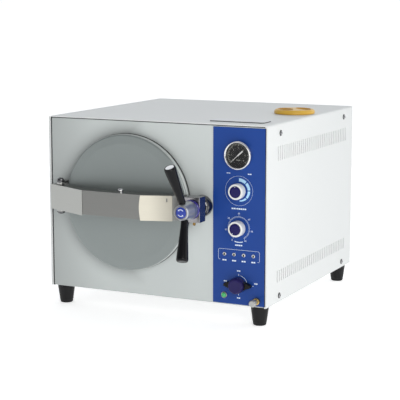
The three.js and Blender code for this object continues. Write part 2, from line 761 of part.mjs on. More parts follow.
function thermostat() {
  const body = rodY(18, [9.4, 40], TEMP_KNOB.x, TEMP_KNOB.z, 16);
  const { x, z } = TEMP_KNOB;
  return join(body, box([x - 26, x + 26], [9.4, 11.4], [z - 8, z + 8]));
}
add("thermostat", thermostat(), BLACK);

function timerUnit() {
  const { x, z } = TIMER_KNOB;
  const body = box([x - 22, x + 22], [9.4, 48], [z - 22, z + 22]);
  return join(body, box([x - 28, x + 28], [9.4, 11.4], [z - 6, z + 6]));
}
add("timer_unit", timerUnit(), BLACK);

function selectorKnob() {
  const { x, z, radius, wing, height, shaft } = SELECTOR;
  const low = PANEL_OUT + 0.6;
  const dial = turnedY(
    [
      [0, out(low + height)],
      [radius - 2, out(low + height)],
      [radius, out(low + height - 2)],
      [radius, out(low)],
      [shaft, out(low)],
      [shaft, 9],
      [0, 9],
    ],
    x,
    z,
    20,
  );
  const points = [[-wing, -3], [-radius + 3, -9], [radius - 3, -9], [wing, -3]];
  points.push([wing, 3], [radius - 3, 9], [-radius + 3, 9], [-wing, 3]);
  const wings = through(points.map(([dx, dz]) => [x + dx, z + dz]), [out(low + 10), out(low)]);
  return join(dial, wings);
}
add("selector_knob", selectorKnob(), DARK_BLUE);

function selectorValve() {
  const { x, z } = SELECTOR;
  return join(
    rodY(17, [9.4, 46], x, z, 16),
    rodX(6, [x - 34, x + 30], 30, z, 12),
    rodZ(6, [z, z + 34], x, 30, 12),
  );
}
add("selector_valve", selectorValve(), BRASS);

function indicatorBoard() {
  const { x, z, radius } = LAMPS;
  const lamps = x.map((centre) => {
    const profile = [
      [0, out(PANEL_OUT + 1.6)],
      [radius - 0.9, out(PANEL_OUT + 1)],
      [radius - 0.3, out(PANEL_OUT)],
      [radius - 0.3, 8],
      [0, 8],
    ];
    return turnedY(profile, centre, z, 10);
  });
  return join(box([x[0] - 10, x[3] + 10], [7, 9], [z - 9, z + 9]), ...lamps);
}
add("indicator_board", indicatorBoard(), GREEN);

function powerButton() {
  const { x, z, radius } = BUTTON;
  const r = radius - 1.2;
  const top = PANEL_OUT + 4.5;
  const profile = [[0, out(top)], [r - 1.5, out(top - 0.3)], [r, out(top - 1.6)], [r, 6], [0, 6]];
  return turnedY(profile, x, z, 16);
}
add("power_button", powerButton(), GREEN);

function drainFitting() {
  const { x, z, radius } = DRAIN;
  const low = PANEL_OUT + GAP;
  const profile = [
    [0, out(low + 7)],
    [radius - 1, out(low + 7)],
    [radius, out(low + 6)],
    [radius, out(low)],
    [radius - 1.5, out(low)],
    [radius - 1.5, 14],
    [0, 14],
  ];
  const body = turnedY(profile, x, z, 16);
  return cut(body, rodY(2.6, [out(low + 10), 10], x, z, 10));
}
add("drain_fitting", drainFitting(), BRASS);

function drainKnob() {
  const { x, z, reach } = DRAIN;
  const low = PANEL_OUT + GAP + 7.5;
  const profile = [
    [0, out(reach)],
    [5.5, out(reach)],
    [7.3, out(reach - 2)],
    [7.3, out(reach - 7)],
    [4.5, out(reach - 9)],
    [4.5, out(low)],
    [2.2, out(low)],
    [2.2, 8],
    [0, 8],
  ];
  return turnedY(profile, x, z, 16);
}
add("drain_knob", drainKnob(), CHROME);

// ---- rear fittings and pipe ---------------------------------------------------------------------
const REAR_REACH = DEPTH + 20;
function safetyValve() {
  const face = DEPTH - 4 + SHEET;
  const profile = [
    [0, DEPTH - 24],
    [8, DEPTH - 24],
    [8, face + GAP],
    [12, face + GAP],
    [12, face + 8],
    [8, face + 10],
    [8, REAR_REACH - 3],
    [6, REAR_REACH],
    [0, REAR_REACH],
  ];
  return turnedY(profile, RELIEF.x, RELIEF.z, 16);
}
add("safety_valve", safetyValve(), BRASS);

function powerInlet() {
  const { x, z, half } = INLET;
  const face = DEPTH - 4 + SHEET + GAP;
  const rim = box([x - half[0] - 6, x + half[0] + 6], [face, face + 3], [z - half[1] - 3, z + half[1] + 3]);
  const body = box(
    [x - half[0] + 0.4, x + half[0] - 0.4],
    [DEPTH - 30, face + 1],
    [z - half[1] + 0.4, z + half[1] - 0.4],
  );
  const socket = box([x - 12, x + 12], [DEPTH - 20, face + 10], [z - 8, z + 8]);
  const pins = [-7, 0, 7].map((dx) => box([x + dx - 1, x + dx + 1], [DEPTH - 22, DEPTH - 6], [z - 2, z + 2]));
  return join(cut(join(rim, body), socket), ...pins);
}
add("power_inlet", powerInlet(), BLACK);

function steamPipe() {
  const valveTop = SELECTOR.z + 34 + GAP;
  return tube(
    [
      [PORT.x, CHAMBER.back - 2, PORT.z],
      [PORT.x, CHAMBER.back + 24, PORT.z],
      [PORT.x + 60, CHAMBER.back + 28, PORT.z - 20],
      [150, CHAMBER.back + 20, 190],
      [165, 380, 180],
      [165, 120, 170],
      [SELECTOR.x, 60, 120],
      [SELECTOR.x, 30, valveTop + 12],
      [SELECTOR.x, 30, valveTop],
    ],
    3.4,
    26,
    6,
  );
}
add("steam_pipe", steamPipe(), BRASS);

export default autoclave;
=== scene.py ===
"""Looks of the benchtop autoclave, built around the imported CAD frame.

Lengths are in metres unless a name says mm. Profiles given to mm() or lathe_piece() are (radius, height)
points in millimetres, each with an optional corner radius.
"""
import math

import bmesh
import bpy
from mathutils import Matrix, Vector


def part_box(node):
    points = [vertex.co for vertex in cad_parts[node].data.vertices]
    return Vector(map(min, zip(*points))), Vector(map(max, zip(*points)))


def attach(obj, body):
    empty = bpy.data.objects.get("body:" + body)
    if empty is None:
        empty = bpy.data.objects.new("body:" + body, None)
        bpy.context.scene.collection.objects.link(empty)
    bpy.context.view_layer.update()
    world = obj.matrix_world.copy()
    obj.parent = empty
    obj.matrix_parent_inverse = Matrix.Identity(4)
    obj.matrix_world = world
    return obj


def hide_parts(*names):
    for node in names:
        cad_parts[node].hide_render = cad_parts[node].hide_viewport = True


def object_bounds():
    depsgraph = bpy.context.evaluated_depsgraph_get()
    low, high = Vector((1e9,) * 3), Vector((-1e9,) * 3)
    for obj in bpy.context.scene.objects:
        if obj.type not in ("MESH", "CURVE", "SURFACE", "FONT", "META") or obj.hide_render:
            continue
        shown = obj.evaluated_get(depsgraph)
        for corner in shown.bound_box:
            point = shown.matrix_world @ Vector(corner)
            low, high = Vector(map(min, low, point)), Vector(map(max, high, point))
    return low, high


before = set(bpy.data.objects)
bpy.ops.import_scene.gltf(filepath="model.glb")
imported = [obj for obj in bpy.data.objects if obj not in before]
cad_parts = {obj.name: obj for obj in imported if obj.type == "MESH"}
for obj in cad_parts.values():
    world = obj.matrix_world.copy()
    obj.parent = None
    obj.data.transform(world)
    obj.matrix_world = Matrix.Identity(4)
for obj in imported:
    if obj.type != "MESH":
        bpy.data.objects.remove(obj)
CAD_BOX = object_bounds()
MM = 0.001

COVER_LOW, COVER_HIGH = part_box("outer_cover")
PANEL_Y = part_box("control_panel")[0].y  # face of the blue panel
FRONT_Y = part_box("front_panel")[0].y  # face of the front panel
BASE_Z = COVER_LOW.z  # underside of the cabinet


def centre(node):
    low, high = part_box(node)
    return (low + high) / 2


def at(x_mm, out_mm, z_mm):
    """A point by millimetres: across, out in front of the front panel, and above the cabinet's underside."""
    return Vector((x_mm * MM, FRONT_Y - out_mm * MM, BASE_Z + z_mm * MM))


# ---- finishes ----------------------------------------------------------------------------------
def new_tree(name):
    material = bpy.data.materials.new(name)
    material.use_nodes = True
    tree = material.node_tree
    return material, tree, tree.nodes["Principled BSDF"]


def feed(tree, socket, value):
    """Gives an input another node's output, or a fixed value."""
    if isinstance(value, bpy.types.NodeSocket):
        tree.links.new(value, socket)
    else:
        socket.default_value = value


def node(tree, kind, *values, **settings):
    """A new node. Values feed its first inputs in order; settings are properties, or inputs by name."""
    made = tree.nodes.new(kind)
    for key, value in settings.items():
        if hasattr(made, key):
            setattr(made, key, value)
        else:
            feed(tree, made.inputs[key.replace("_", " ")], value)
    for socket, value in zip(made.inputs, values):
        feed(tree, socket, value)
    return made


def math_node(tree, operation, a, b):
    return node(tree, "ShaderNodeMath", a, b, operation=operation).outputs[0]


def vector_node(tree, operation, *values):
    return node(tree, "ShaderNodeVectorMath", *values, operation=operation)


def across_of(tree, vector, axis="X"):
    return node(tree, "ShaderNodeSeparateXYZ", vector).outputs[axis]


def coords(tree, kind):
    return node(tree, "ShaderNodeTexCoord").outputs[kind]


def ramp(tree, value, low, high, start, end):
    """Goes softly from start to end while a value goes from low to high."""
    made = node(tree, "ShaderNodeMapRange", value, interpolation_type="SMOOTHSTEP", From_Min=low,
                From_Max=high, To_Min=start, To_Max=end)
    return made.outputs["Result"]


def mixed(tree, share, a, b):
    """A colour between a and b."""
    made = node(tree, "ShaderNodeMix", data_type="RGBA")
    for i, value in ((0, share), (6, a), (7, b)):
        feed(tree, made.inputs[i], value)
    return made.outputs[2]


def noise(tree, vector, scale, detail=3.0, rough=0.5):
    return node(tree, "ShaderNodeTexNoise", Vector=vector, Scale=scale, Detail=detail,
                Roughness=rough).outputs["Fac"]


def stretched(tree, stretch):
    return node(tree, "ShaderNodeMapping", coords(tree, "Object"), Scale=stretch).outputs["Vector"]


def ringed(tree, middle, across):
    """Coordinates that change only with the distance from an axis through middle, for turned faces."""
    apart = vector_node(tree, "SUBTRACT", coords(tree, "Object"), middle).outputs[0]
    flat = vector_node(tree, "MULTIPLY", apart, across).outputs[0]
    return node(tree, "ShaderNodeCombineXYZ", vector_node(tree, "LENGTH", flat).outputs["Value"]).outputs[0]


EDGE_REACH = 1.2 * MM  # how far wear comes in from an edge
WORN_BRIGHT, DARKENED_EDGE = (0.8, 0.8, 0.78, 1), (0.02, 0.02, 0.02, 1)


def finish(name, colour, rough, metal=0.0, grain=900, stretch=(1, 1, 1), rings=None, bump=0.1, mottle=0.1,
           spread=0.1, wear=0.0, coat=0.0, alpha=1.0, bump_mm=0.05, spec=0.5):
    """A procedural finish: fine grain in bump, colour and roughness, slow mottling, and edges rubbed bright
    or darkened.

    Wear below 0 darkens the edges.
    """
    material, tree, shader = new_tree(name)
    fine = noise(tree, ringed(tree, *rings) if rings else stretched(tree, stretch), grain)
    slow = noise(tree, stretched(tree, (1, 1, 1)), 9.0, 4.0, 0.6)
    both = math_node(tree, "ADD", math_node(tree, "MULTIPLY", fine, 0.5),
                     math_node(tree, "MULTIPLY", slow, 0.5))
    dark, light = ([min(1, c * (1 + change)) for c in colour] + [1] for change in (-mottle, mottle))
    shade = mixed(tree, both, dark, light)
    if wear:
        edge = node(tree, "ShaderNodeBevel", samples=4, Radius=EDGE_REACH).outputs[0]
        plain = node(tree, "ShaderNodeNewGeometry").outputs["Normal"]
        dot = vector_node(tree, "DOT_PRODUCT", edge, plain).outputs["Value"]
        edge_mask = math_node(tree, "MULTIPLY", math_node(tree, "SUBTRACT", 1.0, dot), 4.0)
        edge_mask = math_node(tree, "MULTIPLY", math_node(tree, "MINIMUM", edge_mask, 1.0), slow)
        share = math_node(tree, "MULTIPLY", edge_mask, abs(wear))
        shade = mixed(tree, share, shade, WORN_BRIGHT if wear > 0 else DARKENED_EDGE)
    roughness = math_node(tree, "ADD", math_node(tree, "MULTIPLY", both, 2 * spread),
                          max(0.02, rough - spread))
    if bump:
        relief = node(tree, "ShaderNodeBump", Strength=bump, Distance=bump_mm * MM, Height=fine)
        feed(tree, shader.inputs["Normal"], relief.outputs[0])
    for key, value in (("Base Color", shade), ("Roughness", roughness), ("Metallic", metal), ("Alpha", alpha),
                       ("Specular IOR Level", spec), ("Coat Weight", coat), ("Coat Roughness", 0.08)):
        feed(tree, shader.inputs[key], value)
    return material


def scale_colour(material, factor):
    """Multiplies a finish's base colour by a shader value."""
    tree = material.node_tree
    target = tree.nodes["Principled BSDF"].inputs["Base Color"]
    scaled = vector_node(tree, "SCALE", target.links[0].from_socket)
    feed(tree, scaled.inputs["Scale"], factor)
    feed(tree, target, scaled.outputs[0])


def shade_left(material, centre_point):
    """Paints a soft shadow into a paint's colour: darker towards the hinge side and round the door's
    hinge-side edge, where the door shades the panel.
    """
    tree = material.node_tree
    where = node(tree, "ShaderNodeNewGeometry").outputs["Position"]
    across = across_of(tree, where)
    flat = vector_node(tree, "MULTIPLY", where, FACE).outputs[0]
    apart = vector_node(tree, "DISTANCE", flat, (centre_point.x, 0, centre_point.z)).outputs["Value"]
    near = ramp(tree, apart, 0.125, 0.175, 0.66, 1)
    near = math_node(tree, "MAXIMUM", near, ramp(tree, across, -0.13, -0.01, 0, 1))
    scale_colour(material, math_node(tree, "MULTIPLY", ramp(tree, across, -0.25, -0.095, 0.72, 1), near))


def shade_along(material, start, end, dark):
    """Paints shading into a finish softly along a piece's own width, from 1 at start to dark at end."""
    tree = material.node_tree
    across = across_of(tree, coords(tree, "Generated"))
    scale_colour(material, ramp(tree, across, start, end, 1, dark))


FACE = (1, 0, 1)  # keeps X and Z: rings round an axis along Y
FLAT = (1, 1, 0)  # keeps X and Y: rings round an upright axis

door_centre = centre("door_cover")
handle_centre = centre("handle_hub")
COVER = finish("cover_paint", (0.735, 0.75, 0.745), 0.42, grain=1500, bump=0.12, mottle=0.015, wear=-0.12)
FRONT = finish("front_paint", (0.59, 0.63, 0.62), 0.38, grain=1500, bump=0.12, mottle=0.02, wear=-0.1)
# The front paint carries a painted shadow left of the door.
shade_left(FRONT, door_centre)
REAR = finish("rear_paint", (0.60, 0.62, 0.63), 0.5, grain=1400, bump=0.14, mottle=0.03)
LID = finish("lid_paint", (0.74, 0.76, 0.78), 0.4, grain=1500, bump=0.12, mottle=0.02, wear=-0.12)
BLUE = finish("panel_blue", (0.009, 0.052, 0.27), 0.36, grain=2200, mottle=0.05, spec=0.25)
INK = finish("ink_white", (0.70, 0.79, 0.90), 0.45, grain=2600, bump=0.05, mottle=0.05)
INK_BLUE = finish("ink_light_blue", (0.40, 0.66, 0.88), 0.4, grain=2600, bump=0.05, mottle=0.04)
DOOR = finish("door_steel", (0.265, 0.295, 0.29), 0.36, 0.35, grain=1400, rings=(door_centre, FACE),
              bump=0.22, spread=0.08, bump_mm=0.03)
# A lighter copy of the door steel for the rim's side wall: painted light for the bright band where light
# falls on the wall.
RIM_LIT = finish("door_rim_steel_lit", (0.58, 0.61, 0.60), 0.34, 0.25, grain=1800, rings=(door_centre, FACE),
             mottle=0.05)
PLATE = finish("plate_steel", (0.60, 0.60, 0.59), 0.25, 1.0, grain=1600, rings=(door_centre, FACE), bump=0.25,
               mottle=0.08)
LINER = finish("chamber_steel", (0.55, 0.55, 0.54), 0.3, 1.0, grain=700, stretch=(1, 0.06, 1), bump=0.2)
BAR = finish("bar_steel", (0.235, 0.235, 0.225), 0.34, 0.85, stretch=(0.03, 0.03, 1), bump=0.35, mottle=0.12,
             wear=0.3)
BAR_PLATE = finish("bar_cover_steel", (0.74, 0.70, 0.59), 0.3, 0.55, stretch=(0.03, 0.03, 1), bump=0.25,
                   mottle=0.08, wear=0.3)
# Painted shading: the bright bar plate goes darker towards its right-hand end, standing in for the fall of
# light across it.
shade_along(BAR_PLATE, 0.15, 1.0, 0.68)
CHROME = finish("bright_chrome", (0.72, 0.72, 0.73), 0.12, 1.0, grain=500, bump=0.03, mottle=0.06,
                spread=0.05)
HUB = finish("hub_chrome", (0.52, 0.53, 0.56), 0.30, 0.9, grain=1500, rings=(handle_centre, FACE),
             mottle=0.08, spread=0.06)
SCREW = finish("screw_chrome", (0.36, 0.36, 0.37), 0.25, 1.0, grain=1200, mottle=0.15, wear=-0.4)
DARK_STEEL = finish("spindle_steel", (0.10, 0.10, 0.105), 0.4, 0.8, grain=1100, bump=0.25, mottle=0.2,
                    wear=0.3)
STEEL = finish("plain_steel", (0.45, 0.45, 0.44), 0.35, 0.95, grain=800, bump=0.2, mottle=0.12, wear=0.2)
TRAY = finish("tray_steel", (0.62, 0.62, 0.61), 0.28, 1.0, stretch=(1, 0.05, 1), bump=0.2, mottle=0.08)
BRASS = finish("drain_brass", (0.62, 0.44, 0.16), 0.25, 1.0, bump=0.12, mottle=0.12, wear=0.2)
COPPER = finish("pipe_copper", (0.60, 0.32, 0.18), 0.35, 1.0, grain=600, bump=0.15, mottle=0.2)
BLACK = finish("grip_black", (0.004, 0.004, 0.005), 0.22, grain=1400, mottle=0.3, spread=0.08, spec=0.2)
MATT_BLACK = finish("unit_black", (0.02, 0.02, 0.022), 0.55, grain=1300, bump=0.2, mottle=0.25)
RUBBER = finish("foot_rubber", (0.008, 0.008, 0.009), 0.5, grain=1100, bump=0.4, mottle=0.3, wear=0.06,
                spec=0.25)
GASKET = finish("gasket_silicone", (0.62, 0.55, 0.46), 0.5, grain=1200, bump=0.2, mottle=0.08)
WHITE = finish("knob_white", (0.82, 0.82, 0.80), 0.3, grain=1500, bump=0.06, mottle=0.03, wear=-0.1, coat=0.3)
NAVY = finish("cap_navy", (0.009, 0.006, 0.085), 0.25, grain=1500, bump=0.05, mottle=0.15, spec=0.25)
PURPLE = finish("selector_blue", (0.014, 0.009, 0.085), 0.3, grain=1500, bump=0.05, mottle=0.2, spec=0.25)
HUB_BLUE = finish("hub_cap_blue", (0.02, 0.045, 0.33), 0.2, grain=1500, bump=0.05, spec=0.4)
VENT_GREY = finish("vent_baffle_paint", (0.42, 0.43, 0.43), 0.5, grain=1400, mottle=0.03)
RING_STEEL = finish("hub_ring_steel", (0.30, 0.30, 0.32), 0.3, 1.0, grain=1500, rings=(handle_centre, FACE),
                    mottle=0.08)
AMBER = finish("cap_amber", (0.78, 0.47, 0.065), 0.35, grain=1300, wear=-0.3, spec=0.35)
# A darker copy of the cap amber: painted shade for the deep finger recesses.
AMBER_RECESS_SHADE = finish("cap_recess_shade_amber", (0.60, 0.30, 0.025), 0.45, grain=1300, mottle=0.15, spec=0.2)
NEEDLE = finish("needle_white", (0.92, 0.92, 0.90), 0.4, grain=2600, bump=0.05, mottle=0.03)
INK_DIM = finish("dial_ink", (0.50, 0.50, 0.44), 0.5, grain=2600, bump=0.05)
GREEN = finish("button_green", (0.03, 0.42, 0.12), 0.15, bump=0.03, mottle=0.2, coat=0.6)
LAMP = finish("lamp_lens", (0.05, 0.06, 0.05), 0.15, bump=0.02, mottle=0.2, coat=0.5)
BOARD = finish("lamp_board", (0.03, 0.16, 0.07), 0.45)
DIAL = finish("dial_black", (0.010, 0.010, 0.011), 0.4, grain=1800, bump=0.05, mottle=0.3)
GLASS = finish("gauge_glass", (0.01, 0.01, 0.012), 0.06, grain=300, bump=0.0, mottle=0.02, spread=0.02,
               alpha=0.08, spec=0.2)
# Chrome with a darkened base colour: painted dark reflections for polished parts that mirror dark
# surroundings.
DARK_REFLECTION_CHROME = finish("chrome_dark_reflection", (0.13, 0.13, 0.135), 0.10, 1.0, grain=500, bump=0.03, spread=0.05)
# A lighter copy of the bar steel: painted light for the bar's left segment, whose slope catches more light
# than the middle.
BAR_END_LIT = finish("bar_end_steel_lit", (0.42, 0.425, 0.405), 0.3, 0.75, stretch=(0.03, 0.03, 1), bump=0.3,
                 wear=0.3)
BLOCK = finish("latch_block_steel", (0.33, 0.32, 0.33), 0.24, 1.0, bump=0.08, mottle=0.15, spread=0.06)
CATCH = finish("catch_brass", (0.26, 0.16, 0.05), 0.3, 1.0, bump=0.12, mottle=0.15)
COLLAR = finish("collar_blue", (0.03, 0.022, 0.22), 0.2, grain=1500, bump=0.05, mottle=0.15, coat=0.6)
PLASTIC = finish("tank_plastic", (0.78, 0.78, 0.74), 0.45, mottle=0.04)
WOOL = finish("insulation", (0.55, 0.52, 0.42), 0.95, grain=260, bump=0.9, mottle=0.25, bump_mm=1.5)
PAN = finish("pan_steel", (0.50, 0.51, 0.51), 0.4, 0.6, bump=0.15, mottle=0.08, wear=0.2)


# ---- shapes ------------------------------------------------------------------------------------
OUT = (0, -1, 0)  # from the front panel towards the operator
BACK = (0, 1, 0)
UP = (0, 0, 1)
SHARP_TURN = 0.6  # radians between faces, past which an edge is rounded
SMOOTH_BELOW = math.radians(32)  # shading stays smooth over a smaller turn


def rounded(points, closed=False, steps=5):
    """A 2D line whose corners given as (a, b, radius) are turned into arcs."""
    count = len(points)
    made = []
    for i, point in enumerate(points):
        here = Vector(point[:2])
        radius = point[2] if len(point) > 2 else 0
        if not radius or (not closed and i in (0, count - 1)):
            made.append(here)
            continue
        before = (Vector(points[i - 1][:2]) - here).normalized()
        after = (Vector(points[(i + 1) % count][:2]) - here).normalized()
        half = before.angle(after) / 2
        reach = radius / math.tan(half)
        middle = here + (before + after).normalized() * (radius / math.sin(half))
        start = here + before * reach - middle
        turn = start.angle_signed(here + after * reach - middle)
        for k in range(steps + 1):
            a = -turn * k / steps
            c, s = math.cos(a), math.sin(a)
            made.append(middle + Vector((start.x * c - start.y * s, start.x * s + start.y * c)))
    return made


def circle(x, y, radius, sides=48, start=0.0):
    angles = [start + 2 * math.pi * i / sides for i in range(sides)]
    return [Vector((x + radius * math.cos(a), y + radius * math.sin(a))) for a in angles]


def box_outline(x0, x1, y0, y1, radius=0.0):
    corners = [(x0, y0, radius), (x1, y0, radius), (x1, y1, radius), (x0, y1, radius)]
    return rounded(corners, closed=True, steps=4)


def face_matrix(origin, across, up):
    """Places flat points (a, b) and heights h: a along across, b along up, h towards the viewer."""
    x, y = Vector(across).normalized(), Vector(up).normalized()
    z = x.cross(y)
    return Matrix((
        (x.x, y.x, z.x, origin[0]),
        (x.y, y.y, z.y, origin[1]),
        (x.z, y.z, z.z, origin[2]),
        (0, 0, 0, 1),
    ))


def front_matrix(y):
    """Flat X and Z on the front: heights run out towards the operator."""
    return face_matrix((0, y, 0), (1, 0, 0), (0, 0, 1))


def linked(name, data):
    """A new object in the scene."""
    made = bpy.data.objects.new(name, data)
    bpy.context.scene.collection.objects.link(made)
    return made


def baked(holder):
    """An object's mesh with its modifiers or bevels applied."""
    return bpy.data.meshes.new_from_object(holder.evaluated_get(bpy.context.evaluated_depsgraph_get()))


def pour(bm, curve, matrix):
    """Adds a filled curve's mesh to another mesh, and drops the curve."""
    holder = linked(curve.name, curve)
    mesh = baked(holder)
    mesh.transform(matrix)
    bm.from_mesh(mesh)
    bpy.data.objects.remove(holder)
    bpy.data.curves.remove(curve)
    bpy.data.meshes.remove(mesh)
    return bm


def plate(bm, outline, holes, thickness, matrix, bevel=0.0):
    """A flat plate with holes, its top face at height 0 and its back at -thickness."""
    curve = bpy.data.curves.new("outline", "CURVE")
    curve.dimensions = "2D"
    curve.fill_mode = "BOTH"
    curve.extrude = thickness / 2 - bevel
    curve.bevel_depth = bevel
    curve.bevel_resolution = 1
    curve.offset = -bevel
    for loop in [outline, *holes]:
        spline = curve.splines.new("POLY")
        spline.points.add(len(loop) - 1)
        for point, place in zip(spline.points, loop):
            point.co = (place[0], place[1], 0, 1)
        spline.use_cyclic_u = True
    return pour(bm, curve, matrix @ Matrix.Translation((0, 0, -thickness / 2)))


def turned(bm, profile, origin, axis, sides=64):
    """A profile turned about an axis. It starts and ends on the axis, or closes on itself."""
    w = Vector(axis).normalized()
    u = w.orthogonal().normalized()
    v = w.cross(u)
    origin = Vector(origin)
    closed = (Vector(profile[0]) - Vector(profile[-1])).length < 1e-9
    rings = []
    for radius, height in profile[:-1] if closed else profile:
        if radius < 1e-7:
            rings.append([bm.verts.new(origin + w * height)] * sides)
            continue
        ring = []
        for i in range(sides):
            a = 2 * math.pi * i / sides
            ring.append(bm.verts.new(origin + w * height + (u * math.cos(a) + v * math.sin(a)) * radius))
        rings.append(ring)
    pairs = list(zip(rings, rings[1:])) + ([(rings[-1], rings[0])] if closed else [])
    for a, b in pairs:
        for i in range(sides):
            j = (i + 1) % sides
            corners = []
            for vert in (a[i], a[j], b[j], b[i]):
                if vert not in corners:
                    corners.append(vert)
            if len(corners) > 2:
                bm.faces.new(corners)
    return bm


def block(bm, low, high, bevel=0.0, segments=2):
    """An upright block with rounded edges."""
    low, high = Vector(low), Vector(high)
    made = bmesh.ops.create_cube(bm, size=1.0)["verts"]
    for vert in made:
        vert.co = Vector((vert.co[i] + 0.5) * (high[i] - low[i]) + low[i] for i in range(3))
    if bevel:
        edges = list(dict.fromkeys(e for vert in made for e in vert.link_edges))
        bmesh.ops.bevel(bm, geom=edges, offset=bevel, segments=segments, profile=0.5, affect="EDGES")
    return bm


def prism(bm, outline, low, high, matrix, bevel=0.0, segments=2):
    """A flat outline drawn up from low to high, with its sharp edges rounded."""
    base = [bm.verts.new(matrix @ Vector((a, b, low))) for a, b in outline]
    top = [bm.verts.new(matrix @ Vector((a, b, high))) for a, b in outline]
    faces = [bm.faces.new(base), bm.faces.new(top)]
    for i in range(len(base)):
        j = (i + 1) % len(base)
        faces.append(bm.faces.new((base[i], base[j], top[j], top[i])))
    bmesh.ops.recalc_face_normals(bm, faces=faces)
    if bevel:
        edges = [e for f in faces[:2] for e in f.edges]
        edges += [e for f in faces[2:] for e in f.edges if e.calc_face_angle(0) > SHARP_TURN]
        bmesh.ops.bevel(bm, geom=list(dict.fromkeys(edges)), offset=bevel, segments=segments, profile=0.5,
                        affect="EDGES")
    return bm


def swept(bm, points, radius, sides=16):
    """A round tube along a line of points, closed at both ends."""
    points = [Vector(p) for p in points]
    rings = []
    side = None
    for i, place in enumerate(points):
        ahead = points[min(i + 1, len(points) - 1)] - points[max(i - 1, 0)]
        ahead.normalize()
        side = ahead.orthogonal() if side is None else side - ahead * side.dot(ahead)
        side.normalize()
        other = ahead.cross(side)
        ring = []
        for k in range(sides):
            a = 2 * math.pi * k / sides
            ring.append(bm.verts.new(place + (side * math.cos(a) + other * math.sin(a)) * radius))
        rings.append(ring)
    for a, b in zip(rings, rings[1:]):
        for k in range(sides):
            j = (k + 1) % sides
            bm.faces.new((a[k], a[j], b[j], b[k]))
    bm.faces.new(rings[0])
    bm.faces.new(rings[-1])
    return bm


def piece(name, bm, look, node_name=None, body="cabinet", level=True):
    """Turns a built mesh into a finished piece that rides on a body and may stand for a CAD node.

    level keeps broad flat faces flat in shading beside their rounded edges.
    """
    bmesh.ops.remove_doubles(bm, verts=bm.verts, dist=1e-6)
    bmesh.ops.dissolve_degenerate(bm, edges=bm.edges, dist=1e-7)
    bmesh.ops.recalc_face_normals(bm, faces=bm.faces)
    mesh = bpy.data.meshes.new(name)
    bm.to_mesh(mesh)
    bm.free()
    mesh.polygons.foreach_set("use_smooth", [True] * len(mesh.polygons))
    mesh.set_sharp_from_angle(angle=SMOOTH_BELOW)
    mesh.materials.append(look)
    made = linked(name, mesh)
    if level:
        made.modifiers.new("level", "WEIGHTED_NORMAL").keep_sharp = True
    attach(made, body)
    if node_name:
        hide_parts(node_name)
    return made


def mm(profile):
    """Millimetre points, with their corner radii, as metres with arcs."""
    return [tuple(p) for p in rounded([tuple(v * MM for v in point) for point in profile])]


def carve(bm, tools):
    """Cuts one mesh out of another with an exact boolean, and gives the result back."""
    holders = []
    for name, source in (("carved", bm), ("tools", tools)):
        bmesh.ops.recalc_face_normals(source, faces=source.faces)
        mesh = bpy.data.meshes.new(name)
        source.to_mesh(mesh)
        source.free()
        holders.append(linked(name, mesh))
    modifier = holders[0].modifiers.new("cut", "BOOLEAN")
    modifier.operation = "DIFFERENCE"
    modifier.solver = "EXACT"
    modifier.object = holders[1]
    bpy.context.view_layer.update()
    result = baked(holders[0])
    made = bmesh.new()
    made.from_mesh(result)
    for mesh in (holders[0].data, holders[1].data, result):
        bpy.data.meshes.remove(mesh)
    return made


def flute(bm, origin, plane, beyond_mm, depth, count):
    """Draws a turned wall in beyond a radius, to leave ribs round it; plane names the two axes across it."""
    a, b = plane
    for vert in bm.verts:
        across = Vector((vert.co[a] - origin[a], vert.co[b] - origin[b]))
        if across.length > beyond_mm * MM:
            shrink = 1 - depth * (0.5 + 0.5 * math.cos(count * math.atan2(across.y, across.x)))
            vert.co[a], vert.co[b] = origin[a] + across.x * shrink, origin[b] + across.y * shrink
    return bm


def soften(bm, width, segments=2):
    """Rounds every sharp edge."""
    edges = [e for e in bm.edges if len(e.link_faces) == 2 and e.calc_face_angle(0) > SHARP_TURN]
    bmesh.ops.bevel(bm, geom=edges, offset=width, segments=segments, profile=0.5, affect="EDGES",
                    clamp_overlap=True)
    return bm


def lathe_piece(name, profile, origin, look, node_name=None, body="cabinet", axis=OUT, sides=64):
    return piece(name, turned(bmesh.new(), mm(profile), origin, axis, sides), look, node_name, body,
                 level=False)


def panel_point(node_name):
    """The middle of a round node, brought forward to the front panel's face."""
    middle = centre(node_name)
    return Vector((middle.x, FRONT_Y, middle.z))


DOOR_OPENING = 133.3 * MM  # radius of the hole in the front panel
PLAN = face_matrix((0, 0, 0), (1, 0, 0), (0, 1, 0))
SHEET = 1.5 * MM
CAP_TURN = 40  # degrees the filler cap's finger recesses are turned
VENTS = {"first": 55, "last": 436, "count": 36, "width": 3.4, "bands": ((40, 64), (278, 307))}


# ---- cabinet -----------------------------------------------------------------------------------
def u_outline(side, crown, radius):
    """The cover's section from outside to inside: up the left, over the top and down the right, then back.

    side and crown are (outer, inner) distances in from the cover's box, at its flanks and at its top.
    """
    x0, x1 = COVER_LOW.x + side[0] * MM, COVER_HIGH.x - side[0] * MM
    z0, z1 = COVER_LOW.z, COVER_HIGH.z - crown[0] * MM
    inner_x0, inner_x1 = COVER_LOW.x + side[1] * MM, COVER_HIGH.x - side[1] * MM
    inner_z = COVER_HIGH.z - crown[1] * MM
    inner = max(radius - min(side[1] - side[0], crown[1] - crown[0]), 0.4)
    return rounded([
        (x0, z0), (x0, z1, radius * MM), (x1, z1, radius * MM), (x1, z0), (inner_x1, z0),
        (inner_x1, inner_z, inner * MM), (inner_x0, inner_z, inner * MM), (inner_x0, z0),
    ], closed=True, steps=6)


